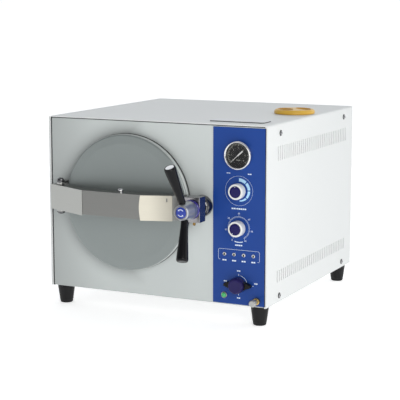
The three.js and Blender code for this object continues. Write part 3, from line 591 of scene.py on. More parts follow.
def cover():
    low, high = COVER_LOW, COVER_HIGH
    shell = prism(bmesh.new(), u_outline((0, 1.5), (0, 1.5), 4), -high.y, -low.y, front_matrix(0))
    tools = bmesh.new()
    pitch = (VENTS["last"] - VENTS["first"]) / (VENTS["count"] - 1)
    half = VENTS["width"] / 2
    for z0, z1 in VENTS["bands"]:
        for i in range(VENTS["count"]):
            y = VENTS["first"] + i * pitch
            outline = [(low.y + a * MM, low.z + b * MM) for a, b in
                       box_outline(y - half, y + half, z0, z1, half * 0.95)]
            prism(tools, outline, low.x - SHEET, high.x + SHEET, face_matrix((0, 0, 0), (0, 1, 0), (0, 0, 1)))
    neck = centre("filler_cap")
    turned(tools, [(0, -0.02), (0.0288, -0.02), (0.0288, 0.02), (0, 0.02)], (neck.x, neck.y, high.z), UP, 48)
    piece("cover_shell", carve(shell, tools), COVER, "outer_cover")
    hem = prism(bmesh.new(), u_outline((1.55, 4.1), (1.55, 2.1), 2), -(low.y + 7 * MM), -low.y,
                front_matrix(0), bevel=0.2 * MM)
    piece("cover_front_hem", hem, COVER)
    # A black strip behind the front hem: a painted shadow line in the gap between the cover and the front
    # panel.
    seal = prism(bmesh.new(), u_outline((4.15, 7.2), (2.15, 5), 1), -(low.y + 6 * MM), -(low.y + 1.6 * MM),
                 front_matrix(0), bevel=0.2 * MM)
    piece("cover_front_shadow_strip", seal, MATT_BLACK)
    for side, x in (("left", low.x + 3.2 * MM), ("right", high.x - 3.2 * MM)):
        for row, (z0, z1) in zip(("lower", "upper"), VENTS["bands"]):
            baffle = block(bmesh.new(), (x - 0.4 * MM, low.y + 46 * MM, low.z + (z0 - 5) * MM),
                           (x + 0.4 * MM, low.y + 446 * MM, low.z + (z1 + 5) * MM), 0.2 * MM)
            piece("vent_baffle_" + side + "_" + row, baffle, VENT_GREY)


def control_holes(spare):
    made = []
    for name, radius in (("gauge_case", 25.2), ("temp_knob", 4), ("timer_knob", 4), ("selector_knob", 5),
                         ("power_button", 6), ("drain_fitting", 5.5)):
        middle = centre(name)
        made.append(circle(middle.x, middle.z, (radius + spare) * MM, 32))
    made += [circle(x, z, (3 + spare) * MM, 20) for x, z in lamp_places()]
    return made


def lamp_places():
    low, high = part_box("indicator_board")
    middle = (low + high) / 2
    margin = 10 * MM
    step = (high.x - low.x - 2 * margin) / 3
    return [(low.x + margin + i * step, middle.z) for i in range(4)]


def front():
    low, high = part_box("front_panel")
    outline = box_outline(low.x + 4.9 * MM, high.x - 2.5 * MM, low.z + 0.6 * MM, high.z - 1.1 * MM, 2 * MM)
    holes = [circle(door_centre.x, door_centre.z, DOOR_OPENING, 128), *control_holes(0.6)]
    bm = plate(bmesh.new(), outline, holes, SHEET, front_matrix(low.y), bevel=0.4 * MM)
    piece("front_sheet", bm, FRONT, "front_panel")
    low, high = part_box("control_panel")
    outline = box_outline(low.x, high.x - 0.3 * MM, low.z, high.z, 1.0 * MM)
    # A black strip along the blue panel's right edge: a painted shadow line where that edge lies in shade.
    strip = block(bmesh.new(), (high.x - 0.2 * MM, high.y - 0.9 * MM, low.z),
                  (high.x + 1.1 * MM, high.y, high.z), 0.2 * MM)
    piece("control_edge_shadow_strip", strip, MATT_BLACK)
    bm = plate(bmesh.new(), outline, control_holes(0.4), high.y - low.y, front_matrix(low.y), bevel=0.25 * MM)
    piece("control_sheet", bm, BLUE, "control_panel")


def feet():
    profile = [(0, 0), (12, 0, 1), (13.4, 3), (13.2, 5.4, 0.5), (13.8, 6.2, 0.5), (17.4, 33, 1.5),
               (17.5, 37.9, 0.8), (0, 37.9)]
    for name in ("foot_front_left", "foot_rear_left", "foot_front_right", "foot_rear_right"):
        middle = centre(name)
        lathe_piece(name + "_rubber", profile, (middle.x, middle.y, 0), RUBBER, name, axis=UP, sides=48)


def screw_head(origin, axis, radius, height):
    """A pan head with a cross recess, in millimetres, seated at its origin."""
    profile = [(0, -3), (radius * 0.45, -3), (radius * 0.45, 0), (radius, 0, 0.2),
               (radius * 0.93, height * 0.55, 0.8), (radius * 0.5, height, 1), (0, height)]
    bm = turned(bmesh.new(), mm(profile), origin, axis, 32)
    w = Vector(axis).normalized()
    u = w.orthogonal().normalized()
    tools = bmesh.new()
    arms = [(-0.62, -0.14), (-0.14, -0.14), (-0.14, -0.62), (0.14, -0.62), (0.14, -0.14), (0.62, -0.14),
            (0.62, 0.14), (0.14, 0.14), (0.14, 0.62), (-0.14, 0.62), (-0.14, 0.14), (-0.62, 0.14)]
    cross = [(a * radius * MM, b * radius * MM) for a, b in arms]
    prism(tools, cross, (height * 0.45) * MM, (height + 2) * MM, face_matrix(origin, u, w.cross(u)))
    return carve(bm, tools)


def screws():
    for name in sorted(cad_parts):
        if name.startswith("cover_screw"):
            low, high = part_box(name)
            outward = 1 if high.x > 0 else -1
            face = (COVER_HIGH.x if outward > 0 else COVER_LOW.x) + outward * 0.1 * MM
            origin = (face, (low.y + high.y) / 2, (low.z + high.z) / 2)
            piece(name + "_head", screw_head(origin, (outward, 0, 0), 4.2, 2.8), SCREW, name)
            # The black washer is enlarged to stand in also for the shade round each screw head: partly a real
            # washer, partly painted shadow.
            shadow_washer = [(4, -0.2), (5.8, -0.2), (5.8, 0.5, 0.2), (4.6, 0.9, 0.3), (4, 0.9), (4, -0.2)]
            lathe_piece(name + "_washer", shadow_washer, origin, MATT_BLACK, axis=(outward, 0, 0), sides=40)


def top():
    low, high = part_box("top_lid")
    outline = box_outline(low.x, high.x, low.y, high.y, 6 * MM)
    bm = plate(bmesh.new(), outline, [], 0.7 * MM, face_matrix((0, 0, high.z), (1, 0, 0), (0, 1, 0)),
               0.25 * MM)
    piece("lid_plate", bm, LID, "top_lid")
    # A black layer under the lid plate: a painted shadow line under the lid's edges.
    outline = box_outline(low.x + 0.2 * MM, high.x - 0.2 * MM, low.y + 0.2 * MM, high.y - 0.2 * MM, 6 * MM)
    seal = prism(bmesh.new(), outline, low.z - 0.2 * MM, high.z - 0.75 * MM, PLAN)
    piece("lid_shadow_strip", seal, MATT_BLACK)
    low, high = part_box("filler_cap")
    middle = (low + high) / 2
    profile = [(28.6, 0), (41.2, 0, 0.6), (42, 1.5, 0.6), (42, 5.4, 1.6), (38.6, 8.8, 2), (0, 9.9), (0, 3.4),
               (28.6, 3.4), (28.6, 0)]
    bm = flute(turned(bmesh.new(), mm(profile), (middle.x, middle.y, low.z), UP, 120), middle, (0, 1), 41.3,
               0.009, 40)
    spin = Matrix.Rotation(math.radians(CAP_TURN), 3, "Z")

    def recess(side, across, along, height):
        """A point of a finger recess: -1 to 1 across and along it, and its height over the cap in mm."""
        place = Vector((side * 19 + across * 15, along * 27, height)) * MM
        return spin @ place + Vector((middle.x, middle.y, high.z))

    # Thin darker bowls line the finger recesses: painted shade inside them.
    tools, shade_bowls = bmesh.new(), bmesh.new()
    angles = [math.radians(a) for a in range(0, 85, 7)]
    outer = [(math.sin(a) * 0.98, 0.6 - math.cos(a) * 6.3) for a in angles]
    inner = [(math.sin(a) * 0.95, 0.6 - math.cos(a) * 6.0) for a in angles]
    for side in (-1, 1):
        for vert in bmesh.ops.create_uvsphere(tools, u_segments=40, v_segments=20, radius=1.0)["verts"]:
            vert.co = recess(side, vert.co.x, vert.co.y, 0.6 + vert.co.z * 6.4)
        before = len(shade_bowls.verts)
        turned(shade_bowls, [*outer, *reversed(inner)], (0, 0, 0), UP, 48)
        shade_bowls.verts.ensure_lookup_table()
        for vert in shade_bowls.verts[before:]:
            vert.co = recess(side, vert.co.x, vert.co.y, vert.co.z)
            vert.co.z = min(vert.co.z, high.z - 0.7 * MM)
    piece("filler_cap_moulding", carve(bm, tools), AMBER, "filler_cap", body="filler")
    piece("filler_cap_recess_shade", shade_bowls, AMBER_RECESS_SHADE, body="filler", level=False)


def rear():
    low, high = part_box("rear_panel")
    matrix = face_matrix((0, high.y, 0), (-1, 0, 0), (0, 0, 1))
    outline = [(-a, b) for a, b in box_outline(low.x, high.x, low.z, high.z, 1.5 * MM)][::-1]
    inlet_low, inlet_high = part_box("power_inlet")
    valve = centre("safety_valve")
    rim = (6 * MM, 3 * MM)
    hole = box_outline(-(inlet_high.x - rim[0]), -(inlet_low.x + rim[0]), inlet_low.z + rim[1],
                       inlet_high.z - rim[1])
    holes = [hole, circle(-valve.x, valve.z, 8.5 * MM, 32)]
    bm = plate(bmesh.new(), outline, holes, high.y - low.y, matrix, bevel=0.4 * MM)
    piece("rear_sheet", bm, REAR, "rear_panel")
    inset = 14 * MM
    places = [(x, z) for x in (low.x + inset, 0, high.x - inset) for z in (low.z + inset, high.z - inset)]
    for i, (x, z) in enumerate(places):
        head = screw_head((x, high.y + 0.1 * MM, z), BACK, 3.6, 2.0)
        piece("rear_screw_" + str(i + 1), head, SCREW)
    low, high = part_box("safety_valve")
    origin = (valve.x, high.y, valve.z)
    profile = [(0, -44), (8, -44), (8, -22), (8, -18), (11.5, -18, 0.6), (11.5, -11, 0.6), (8, -10),
               (8, -8, 0.5), (6.8, -7, 0.4), (8, -6, 0.4), (8, -2, 1.2), (5.5, 0, 0.8), (0, 0)]
    lathe_piece("safety_valve_body", profile, origin, BRASS, "safety_valve", axis=BACK)


# ---- chamber -----------------------------------------------------------------------------------
def chamber():
    low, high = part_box("chamber")
    origin = Vector((door_centre.x, low.y, door_centre.z))
    profile = [(123, 0), (130, 0, 0.8), (131.3, 1.5, 0.8), (131.3, 13), (126, 13), (126, 418, 12),
               (112, 434, 6), (0, 442), (0, 439), (109, 431, 6), (123, 415, 8), (123, 0)]
    lathe_piece("chamber_liner", profile, origin, LINER, "chamber", axis=BACK, sides=128)
    low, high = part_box("heater")
    radius = (high.z - low.z) / 2
    half = (high.x - low.x) / 2 - radius
    middle = (low + high) / 2
    bend = low.y + radius + half
    line = [(middle.x - half, high.y, middle.z)]
    line += [(middle.x - half * math.cos(a), bend - half * math.sin(a), middle.z)
             for a in [math.pi * i / 24 for i in range(25)]]
    line.append((middle.x + half, high.y, middle.z))
    piece("heater_tube", swept(bmesh.new(), line, radius * 0.98), DARK_STEEL, "heater")
    for name in ("tray_lower", "tray_upper"):
        tray(name)


def tray(name):
    low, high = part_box(name)
    wall = 1.2 * MM
    shell = block(bmesh.new(), low, high, 3 * MM, 3)
    inner_low = (low.x + wall, low.y + wall, low.z + wall)
    tools = block(bmesh.new(), inner_low, (high.x - wall, high.y - wall, high.z + 10 * MM), 2.4 * MM, 3)
    columns, rows = 9, 16
    for i in range(columns):
        for j in range(rows):
            x = low.x + (high.x - low.x) * (i + 1) / (columns + 1)
            y = low.y + (high.y - low.y) * (j + 1) / (rows + 1)
            turned(tools, [(0, -0.003), (0.003, -0.003), (0.003, 0.0011), (0, 0.0011)], (x, y, low.z), UP, 12)
    piece(name + "_pan", carve(shell, tools), TRAY, name)


# ---- door --------------------------------------------------------------------------------------
def door():
    low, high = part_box("door_cover")
    back = Vector((door_centre.x, high.y, door_centre.z))  # the rim's rear edge
    profile = [(0, 16.4), (60, 16.1), (117, 15.4, 60), (132.4, 14.4, 3), (134.7, 12.8, 1.2), (134.7, 11.8),
               (132.2, 9.4), (0, 11)]
    bm = turned(bmesh.new(), mm(profile), back, OUT, 160)
    stud = centre("door_stud")
    stud_hole = mm([(0, -30), (13, -30), (13, 60), (0, 60)])
    tools = turned(bmesh.new(), stud_hole, (stud.x, back.y, stud.z), OUT, 48)
    piece("door_disc", carve(bm, tools), DOOR, "door_cover", body="door")
    # The rim's wall, in the lighter copy of the door steel (painted light).
    profile = [(133, 8.4), (134.2, 11, 0.4), (135.4, 10.6, 0.4), (135.5, 8.6), (134.8, 8.2), (134.8, 7.6),
               (135.5, 7.2), (135.5, 2.6, 0.4), (133, 2.6, 0.4), (133, 8.4)]
    lathe_piece("door_rim", profile, back, RIM_LIT, body="door", sides=160)
    # A black ring behind the rim: a painted shadow line in the gap between the door and the front panel.
    profile = [(132.8, -3.2), (135.2, -3.2, 0.4), (136, -1, 1), (136, 1.4, 0.5), (132.8, 2.4), (132.8, -3.2)]
    lathe_piece("door_edge_shadow_ring", profile, back, MATT_BLACK, body="door", sides=160)
    low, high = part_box("door_plate")
    rear = Vector((door_centre.x, high.y, door_centre.z))
    profile = [(0, 0), (40, 0), (41, 0.8), (42, 0), (80, 0), (81, 0.8), (82, 0), (118.5, 0, 0.5), (119, 5),
               (128.5, 5), (129, 2), (131, 3, 0.5), (131, 7, 0.5), (0, 7)]
    lathe_piece("door_pressure_plate", profile, rear, PLATE, "door_plate", body="door", sides=128)
    low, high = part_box("door_gasket")
    rear = Vector((door_centre.x, high.y, door_centre.z))
    profile = [(121, 5.3), (127.7, 5.3, 0.4), (127.7, 1.7, 0.6), (125.8, 0, 0.5), (124.4, 1.2, 0.3),
               (123.2, 1.2, 0.3), (121.8, 0, 0.5), (119.9, 1.7, 0.6), (119.9, 5.3, 0.4), (121, 5.3)]
    lathe_piece("door_seal", profile, rear, GASKET, "door_gasket", body="door", sides=128)


PIN_BORE = 3.9 * MM  # radius of the bar's bore for the hinge pin
# The bar's front and back edges seen from above, as millimetres across and out in front of the front panel.
BAR_LINE = [(-220, 27), (-117, 76, 5), (13, 80, 5), (73, 60, 5), (89.7, 51)]
BAR_BACK = [(89.7, 34), (60, 36, 8), (10, 48, 8), (-95, 48, 8), (-150, 34, 4), (-184, 30, 2), (-190, 25),
            (-192, 22), (-205, 17, 3), (-220, 24)]


def plan_points(points, inset=0.0):
    """Plan points of (across, out) in millimetres, as frame X and Y, set back by an inset."""
    return [(a * MM, FRONT_Y - (b - inset) * MM) for a, b in rounded(points)]


def bar():
    low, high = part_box("door_bar")
    z0, z1 = low.z, high.z
    web = 3 * MM
    front_line = plan_points(BAR_LINE)
    outline = front_line + plan_points(BAR_BACK)
    body = prism(bmesh.new(), outline, z0, z1, PLAN)
    inner = plan_points([(-230, 22.3), (-117, 76, 5), (13, 80, 5), (73, 60, 5), (100, 45.4)], 3)
    far = [(100 * MM, FRONT_Y + 10 * MM), (-230 * MM, FRONT_Y + 10 * MM)]
    tools = prism(bmesh.new(), inner + far, z0 + web, z1 - web, PLAN)
    hinge = centre("hinge_pin")
    bore = [(0, z0 - 5 * MM), (PIN_BORE, z0 - 5 * MM), (PIN_BORE, z1 + 5 * MM), (0, z1 + 5 * MM)]
    bore = turned(bmesh.new(), bore, (hinge.x, hinge.y, 0), UP, 32)
    body = soften(carve(carve(body, tools), bore), 0.5 * MM)
    piece("bar_channel", body, BAR, "door_bar", body="door")
    # A plate over the bar's left segment in the lighter copy of the bar steel: painted light on that face.
    start, end = Vector((-219.6, -27.2)), Vector((-119, -75.2))
    along = end - start
    outline = box_outline(0, along.length * MM, -2.3 * MM, z1 - z0 + 0.3 * MM, 1 * MM)
    out_by = 1.1 * MM
    origin = (start.x * MM, FRONT_Y + start.y * MM - out_by, z0)
    bm = plate(bmesh.new(), outline, [], 1.0 * MM, face_matrix(origin, (along.x, along.y, 0), UP),
               bevel=0.3 * MM)
    piece("bar_end_lit_plate", bm, BAR_END_LIT, body="door")
    profile = [(3.9, z0 / MM + 0.1), (6.7, z0 / MM + 0.1, 0.4), (6.7, z1 / MM - 0.1, 0.4),
               (3.9, z1 / MM - 0.1), (3.9, z0 / MM + 0.1)]
    lathe_piece("hinge_barrel", profile, (hinge.x, hinge.y, 0), STEEL, body="door", axis=UP,
                sides=32)
    start, end = Vector((13, -80)), Vector((73, -60))
    along = end - start
    length, height = (along.length - 1) * MM, z1 - z0 + 1.5 * MM
    bow = [(-2.5 * math.sin(math.pi * i / 12) * MM, height * (1 - i / 12)) for i in range(13)]
    outline = [(0, 0), *rounded([(length - MM, 0), (length, 0, 1.5 * MM), (length, height, 1.5 * MM),
                                 (length - MM, height)]), *bow[:-1]]
    slot_hole = box_outline(length - 12 * MM, length - 9.5 * MM, height - 12 * MM, height - 5 * MM, 1.1 * MM)
    origin = (start.x * MM, FRONT_Y + start.y * MM - 1.55 * MM, z0 - 1.5 * MM)
    matrix = face_matrix(origin, (along.x, along.y, 0), UP)
    bm = plate(bmesh.new(), outline, [slot_hole], 1.2 * MM, matrix, bevel=0.35 * MM)
    piece("bar_bright_plate", bm, BAR_PLATE, "bar_cover", body="door")
    low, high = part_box("stud_pin")
    pin = (low + high) / 2
    cap_z = (z1 + 0.3 * MM) / MM
    profile = [(0, low.z / MM), (3.9, low.z / MM), (3.9, cap_z), (5.5, cap_z, 0.3), (5.5, cap_z + 3.6, 1.5),
               (3.6, cap_z + 6, 1.5), (0, cap_z + 6.6)]
    bm = turned(bmesh.new(), mm(profile), (pin.x, pin.y, 0), UP, 40)
    tools = block(bmesh.new(), (pin.x - 8 * MM, pin.y - 0.5 * MM, high.z - 1.6 * MM),
                  (pin.x + 8 * MM, pin.y + 0.5 * MM, high.z + 5 * MM))
    piece("pivot_screw", carve(bm, tools), CHROME, "stud_pin", body="door")


def hinge():
    low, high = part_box("hinge_bracket")
    pin = centre("hinge_pin")
    bm = block(bmesh.new(), (low.x, high.y - 2.5 * MM, low.z), (low.x + 26 * MM, high.y, high.z), 0.6 * MM)
    piece("hinge_base", bm, STEEL, "hinge_bracket")
    bar_low, bar_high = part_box("door_bar")
    for name, z0, z1 in (("lower", low.z + 0.8 * MM, bar_low.z - 2.9 * MM),
                         ("upper", bar_high.z + 0.8 * MM, high.z - 0.7 * MM)):
        outline = [(pin.x - 8 * MM, high.y - 2.6 * MM), (pin.x + 1.4 * MM, high.y - 2.6 * MM),
                   (pin.x + 1.4 * MM, pin.y + 6.8 * MM)]
        outline += [(pin.x + 7 * MM * math.cos(a), pin.y + 7 * MM * math.sin(a))
                    for a in [math.radians(40 - 220 * i / 16) for i in range(1, 17)]]
        ear = prism(bmesh.new(), outline, z0, z1, PLAN, bevel=0.4 * MM)
        piece("hinge_ear_" + name, ear, STEEL)
    low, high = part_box("hinge_pin")
    bottom, top = low.z / MM, high.z / MM
    profile = [
        (0, bottom), (5, bottom + 0.6, 2), (8, bottom + 3, 0.8), (8, bottom + 5, 0.4), (3.5, bottom + 5),
        (3.5, top - 8.5), (8.1, top - 8.5, 0.4), (8.1, top - 5.6, 0.5), (7.1, top - 5, 0.5),
        (6.6, top - 2.3, 1.5), (3.4, top - 0.5, 1.5), (0, top),
    ]
    # The acorn nuts are chrome with painted dark reflections.
    lathe_piece("hinge_pin_acorn", profile, (pin.x, pin.y, 0), DARK_REFLECTION_CHROME, "hinge_pin", axis=UP, sides=40)


# ---- latch and handle --------------------------------------------------------------------------
def latch():
    low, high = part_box("latch_block")
    axis_point = Vector((handle_centre.x, FRONT_Y, handle_centre.z))
    bm = block(bmesh.new(), low, high)
    tools = turned(bmesh.new(), mm([(0, 0), (8.5, 0), (8.5, 90), (0, 90)]), axis_point, OUT, 40)
    catch = centre("latch_catch")
    turned(tools, mm([(0, -10), (3.5, -10), (3.5, 14), (0, 14)]), (catch.x, catch.y, low.z), UP, 24)
    piece("latch_body", soften(carve(bm, tools), 1.2 * MM, 3), BLOCK, "latch_block", body="door")
    low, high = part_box("latch_catch")
    profile = [(0, 0), (1.8, 0.3, 0.6), (2.9, 1.8, 0.6), (2.9, 15.4, 0.2), (0, 15.4)]
    lathe_piece("catch_pin", profile, (catch.x, catch.y, low.z), CATCH, "latch_catch", body="catch", axis=UP,
                sides=24)
    profile = [(11, 19, 0.5), (15.5, 18.9, 1.2), (17.6, 17.6, 1), (18.6, 18, 1), (20.6, 15, 2), (21.3, 10, 2),
               (21.3, 1.9, 0.4), (17.5, 1.9), (17.5, 0.3), (11, 0.3)]
    # The seat is chrome with painted dark reflections.
    lathe_piece("spindle_seat", [*profile, (11, 19)], axis_point, DARK_REFLECTION_CHROME, "latch_seat")
    shaft = [(0, 4), (5, 4, 1), (7.4, 7)]
    for i in range(8):
        shaft += [(8, 8 + 2 * i), (7.2, 9 + 2 * i)]
    shaft += [(8, 24.5), (8, 88), (0, 88)]
    lathe_piece("spindle_shaft", shaft, axis_point, DARK_STEEL, "spindle", body="handle")
    ring = [(8.2, 52.1), (17.3, 52.1, 0.8), (18.5, 53.2, 0.6), (18.5, 55.8, 0.6), (17.3, 56.9, 0.4),
            (8.2, 56.9), (8.2, 52.1)]
    lathe_piece("spindle_collar", ring, axis_point, COLLAR, body="handle")
    profile = [(0, 92.9), (11.2, 92.9), (11.2, 95.6), (13.6, 95.6, 0.3), (14.9, 94.2, 1.2), (16.4, 82, 10),
               (17.9, 72, 8), (18, 61.5, 2), (16.6, 57.5, 0.6), (8.3, 57.5), (8.3, 88.4), (0, 88.4)]
    lathe_piece("handle_barrel", profile[::-1], axis_point, HUB, "handle_hub", body="handle", sides=96)
    profile = [(0, 93.3), (10.9, 93.3), (10.9, 95.3, 0.8), (8, 96.6, 4), (0, 97)]
    lathe_piece("hub_badge", profile, axis_point, HUB_BLUE, "hub_cap", body="handle", sides=64)
    profile = [(11.3, 95.4), (13.6, 95.4), (13.6, 96.3, 0.3), (11.6, 96.5, 0.3), (11.3, 95.4)]
    lathe_piece("hub_front_ring", profile, axis_point, RING_STEEL, body="handle", sides=64)
    marks = bmesh.new()
    for turn in (0, 180):
        face_marks = front_matrix(FRONT_Y - 96.85 * MM)
        sector(marks, axis_point.x, axis_point.z, 5.6 * MM, 6.8 * MM, turn + 35, turn + 130, face_marks)
        tip = math.radians(turn + 145)
        points = [(6.2, tip), (8.2, tip - 0.32), (4.2, tip - 0.32)]
        arrow = [(axis_point.x + r * MM * math.cos(a), axis_point.z + r * MM * math.sin(a))
                 for r, a in points]
        prism(marks, arrow, -0.5 * MM, 0.12 * MM, face_marks)
    piece("hub_badge_arrows", marks, INK, body="handle")
    for name, side in (("grip_upper", 1), ("grip_lower", -1)):
        grip(name, side, axis_point)


def sector(bm, x, z, inner, outer, start, end, matrix, low=-0.3 * MM, high=0.1 * MM):
    """A flat piece of ring between two angles in degrees, on the front."""
    steps = max(2, int(abs(end - start) / 5))
    angles = [math.radians(start + (end - start) * i / steps) for i in range(steps + 1)]
    outline = [(x + outer * math.cos(a), z + outer * math.sin(a)) for a in angles]
    outline += [(x + inner * math.cos(a), z + inner * math.sin(a)) for a in reversed(angles)]
    return prism(bm, outline, low, high, matrix)


def grip(name, side, axis_point):
    tilt, lean = math.radians(24), math.radians(-8.3)
    line = Vector((side * math.sin(lean) * math.cos(tilt), -math.sin(tilt),
                   side * math.cos(lean) * math.cos(tilt)))
    origin = axis_point + Vector((0, -77 * MM, 0))
    profile = [(0, 17.5), (6.6, 17.5), (7, 19.5, 0.5), (7.3, 32.5, 20), (9.2, 60.5, 60), (11.2, 86.5, 20),
               (11.5, 93.5, 3), (10.3, 96.7, 1.5), (8.8, 97.1, 0.4), (8.6, 96.4, 0.2), (0, 96.4)]
    lathe_piece(name + "_moulding", profile, origin, BLACK, name, body="handle", axis=line, sides=64)
    profile = [(0, 95.5), (8.4, 95.5), (8.4, 96.8, 0.4), (0, 97.2)]
    # The upper grip's end disc is chrome and the lower one black: a painted highlight on the upper end, where
    # light from above falls.
    look = CHROME if side > 0 else BLACK
    lathe_piece(name + "_end_disc", profile, origin, look, body="handle", axis=line, sides=48)


# ---- control column ----------------------------------------------------------------------------
def lettering(bm, text, x, z, size_mm, matrix, height=0.12 * MM):
    """Plain numerals, centred on a point."""
    curve = bpy.data.curves.new("numeral", "FONT")
    curve.body = text
    curve.size = size_mm * MM
    curve.extrude = height / 2
    curve.align_x, curve.align_y = "CENTER", "CENTER"
    curve.resolution_u = 3
    pour(bm, curve, matrix @ Matrix.Translation((x, z, height / 2)))


def ray(bm, x, z, inner, outer, width, degrees, matrix):
    """A straight tick that points away from a centre; inner, outer and width in millimetres."""
    a = math.radians(degrees)
    along, side = Vector((math.cos(a), math.sin(a))), Vector((-math.sin(a), math.cos(a)))
    place = Vector((x, z))
    corners = [along * inner - side * width / 2, along * outer - side * width / 2,
               along * outer + side * width / 2, along * inner + side * width / 2]
    prism(bm, [place + c * MM for c in corners], -0.3 * MM, 0.1 * MM, matrix)


def caption(bm, x, z, widths, matrix, height=1.5):
    """A row of small dashes where a caption would be; widths and height in millimetres."""
    gap = 0.7
    cursor = -(sum(widths) + gap * (len(widths) - 1)) / 2
    for width in widths:
        x0, x1 = x + cursor * MM, x + (cursor + width) * MM
        prism(bm, box_outline(x0, x1, z - height / 2 * MM, z + height / 2 * MM), -0.3 * MM, 0.1 * MM, matrix)
        cursor += width + gap


def scale_band(bm, x, z, start, end, matrix):
    """One wedge of the pressure and temperature band, which narrows as it runs on round."""
    steps = 8
    angles = [start + (end - start) * i / steps for i in range(steps + 1)]
    outer = [(24.4 - 4.2 * ((90 - a) / 176) ** 2, math.radians(a)) for a in angles]
    inner = [(18.2, a) for _, a in reversed(outer)]
    places = [(x + r * MM * math.cos(a), z + r * MM * math.sin(a)) for r, a in [*outer, *inner]]
    prism(bm, places, -0.3 * MM, 0.1 * MM, matrix)


TIMER_MINUTES = 60
TIMER_START, TIMER_SWEEP = 240, 300  # degrees
GAUGE_START, GAUGE_SWEEP = 222, 264  # degrees


def timer_angle(share):
    return TIMER_START - TIMER_SWEEP * share


def panel_print():
    flat = front_matrix(PANEL_Y)
    white, blue = bmesh.new(), bmesh.new()
    temp, timer, selector = centre("temp_knob"), centre("timer_knob"), centre("selector_knob")
    for start in (-90, 90):
        sector(white, temp.x, temp.z, 28.3 * MM, 28.65 * MM, start, start + 180, flat)
    for start, end in ((90, 50), (45, 6), (1, -39), (-44, -86)):
        scale_band(blue, temp.x, temp.z, start, end, flat)
    for i in range(TIMER_MINUTES + 1):
        degrees = timer_angle(i / TIMER_MINUTES)
        ray(white, timer.x, timer.z, 20.5, 24.4 if i % 10 == 0 else 23.2, 0.5, degrees, flat)
        if i % 10 == 0:
            a = math.radians(degrees)
            lettering(white, str(i), timer.x + 27.8 * MM * math.cos(a), timer.z + 27.8 * MM * math.sin(a),
                      4.4, flat)
    sector(white, timer.x, timer.z, 26.8 * MM, 28.4 * MM, 252, 288, flat)
    lamps = lamp_places()
    low_x, high_x = lamps[0][0] - 13 * MM, lamps[-1][0] + 13 * MM
    top_z, low_z, line, lip = lamps[0][1] + 10 * MM, lamps[0][1] - 11.5 * MM, 0.5 * MM, 4.5 * MM
    outer = rounded([(low_x + lip, low_z), (low_x, low_z, 3 * MM), (low_x, top_z, 4 * MM),
                     (high_x, top_z, 4 * MM), (high_x, low_z, 3 * MM), (high_x - lip, low_z)])
    inner = rounded([(high_x - lip, low_z + line), (high_x - line, low_z + line, 2.5 * MM),
                     (high_x - line, top_z - line, 3.5 * MM), (low_x + line, top_z - line, 3.5 * MM),
                     (low_x + line, low_z + line, 2.5 * MM), (low_x + lip, low_z + line)])
    prism(white, outer + inner, -0.3 * MM, 0.1 * MM, flat)
    for x, z in lamps:
        caption(white, x, z - 12 * MM, (3.8, 3.8), flat, 2.6)
    for degrees, near, far in ((0, 29, 31), (90, 17.5, 21), (180, 29, 31), (270, 17.5, 21)):
        ray(white, selector.x, selector.z, near, far, 0.9, degrees, flat)
    sector(white, selector.x, selector.z, 17.6 * MM, 18.5 * MM, 8, 82, flat)
    for knob, dx, dz, widths, tall in (
            (temp, -22, 33.2, (3.4, 3.4), 1.3), (temp, 22, 33.2, (3.4, 3.4), 1.9),
            (temp, 0, -34.5, (3.4, 3.4, 1.6, 3.4, 3.4, 3.4, 3.4, 3.4), 2.6),
            (timer, 0, -33.5, (3.2, 3.2, 3.2, 3.2), 2.6),
            (selector, 0, 27, (3, 3), 2.4), (selector, 0, -26, (3, 3), 2.4), (selector, -28, 5, (3, 3), 2.4),
            (selector, 36, 5, (3, 3), 2.4)):
        caption(white, knob.x + dx * MM, knob.z + dz * MM, widths, flat, tall)
    piece("panel_print_white", white, INK)
    piece("panel_print_light_blue", blue, INK_BLUE)


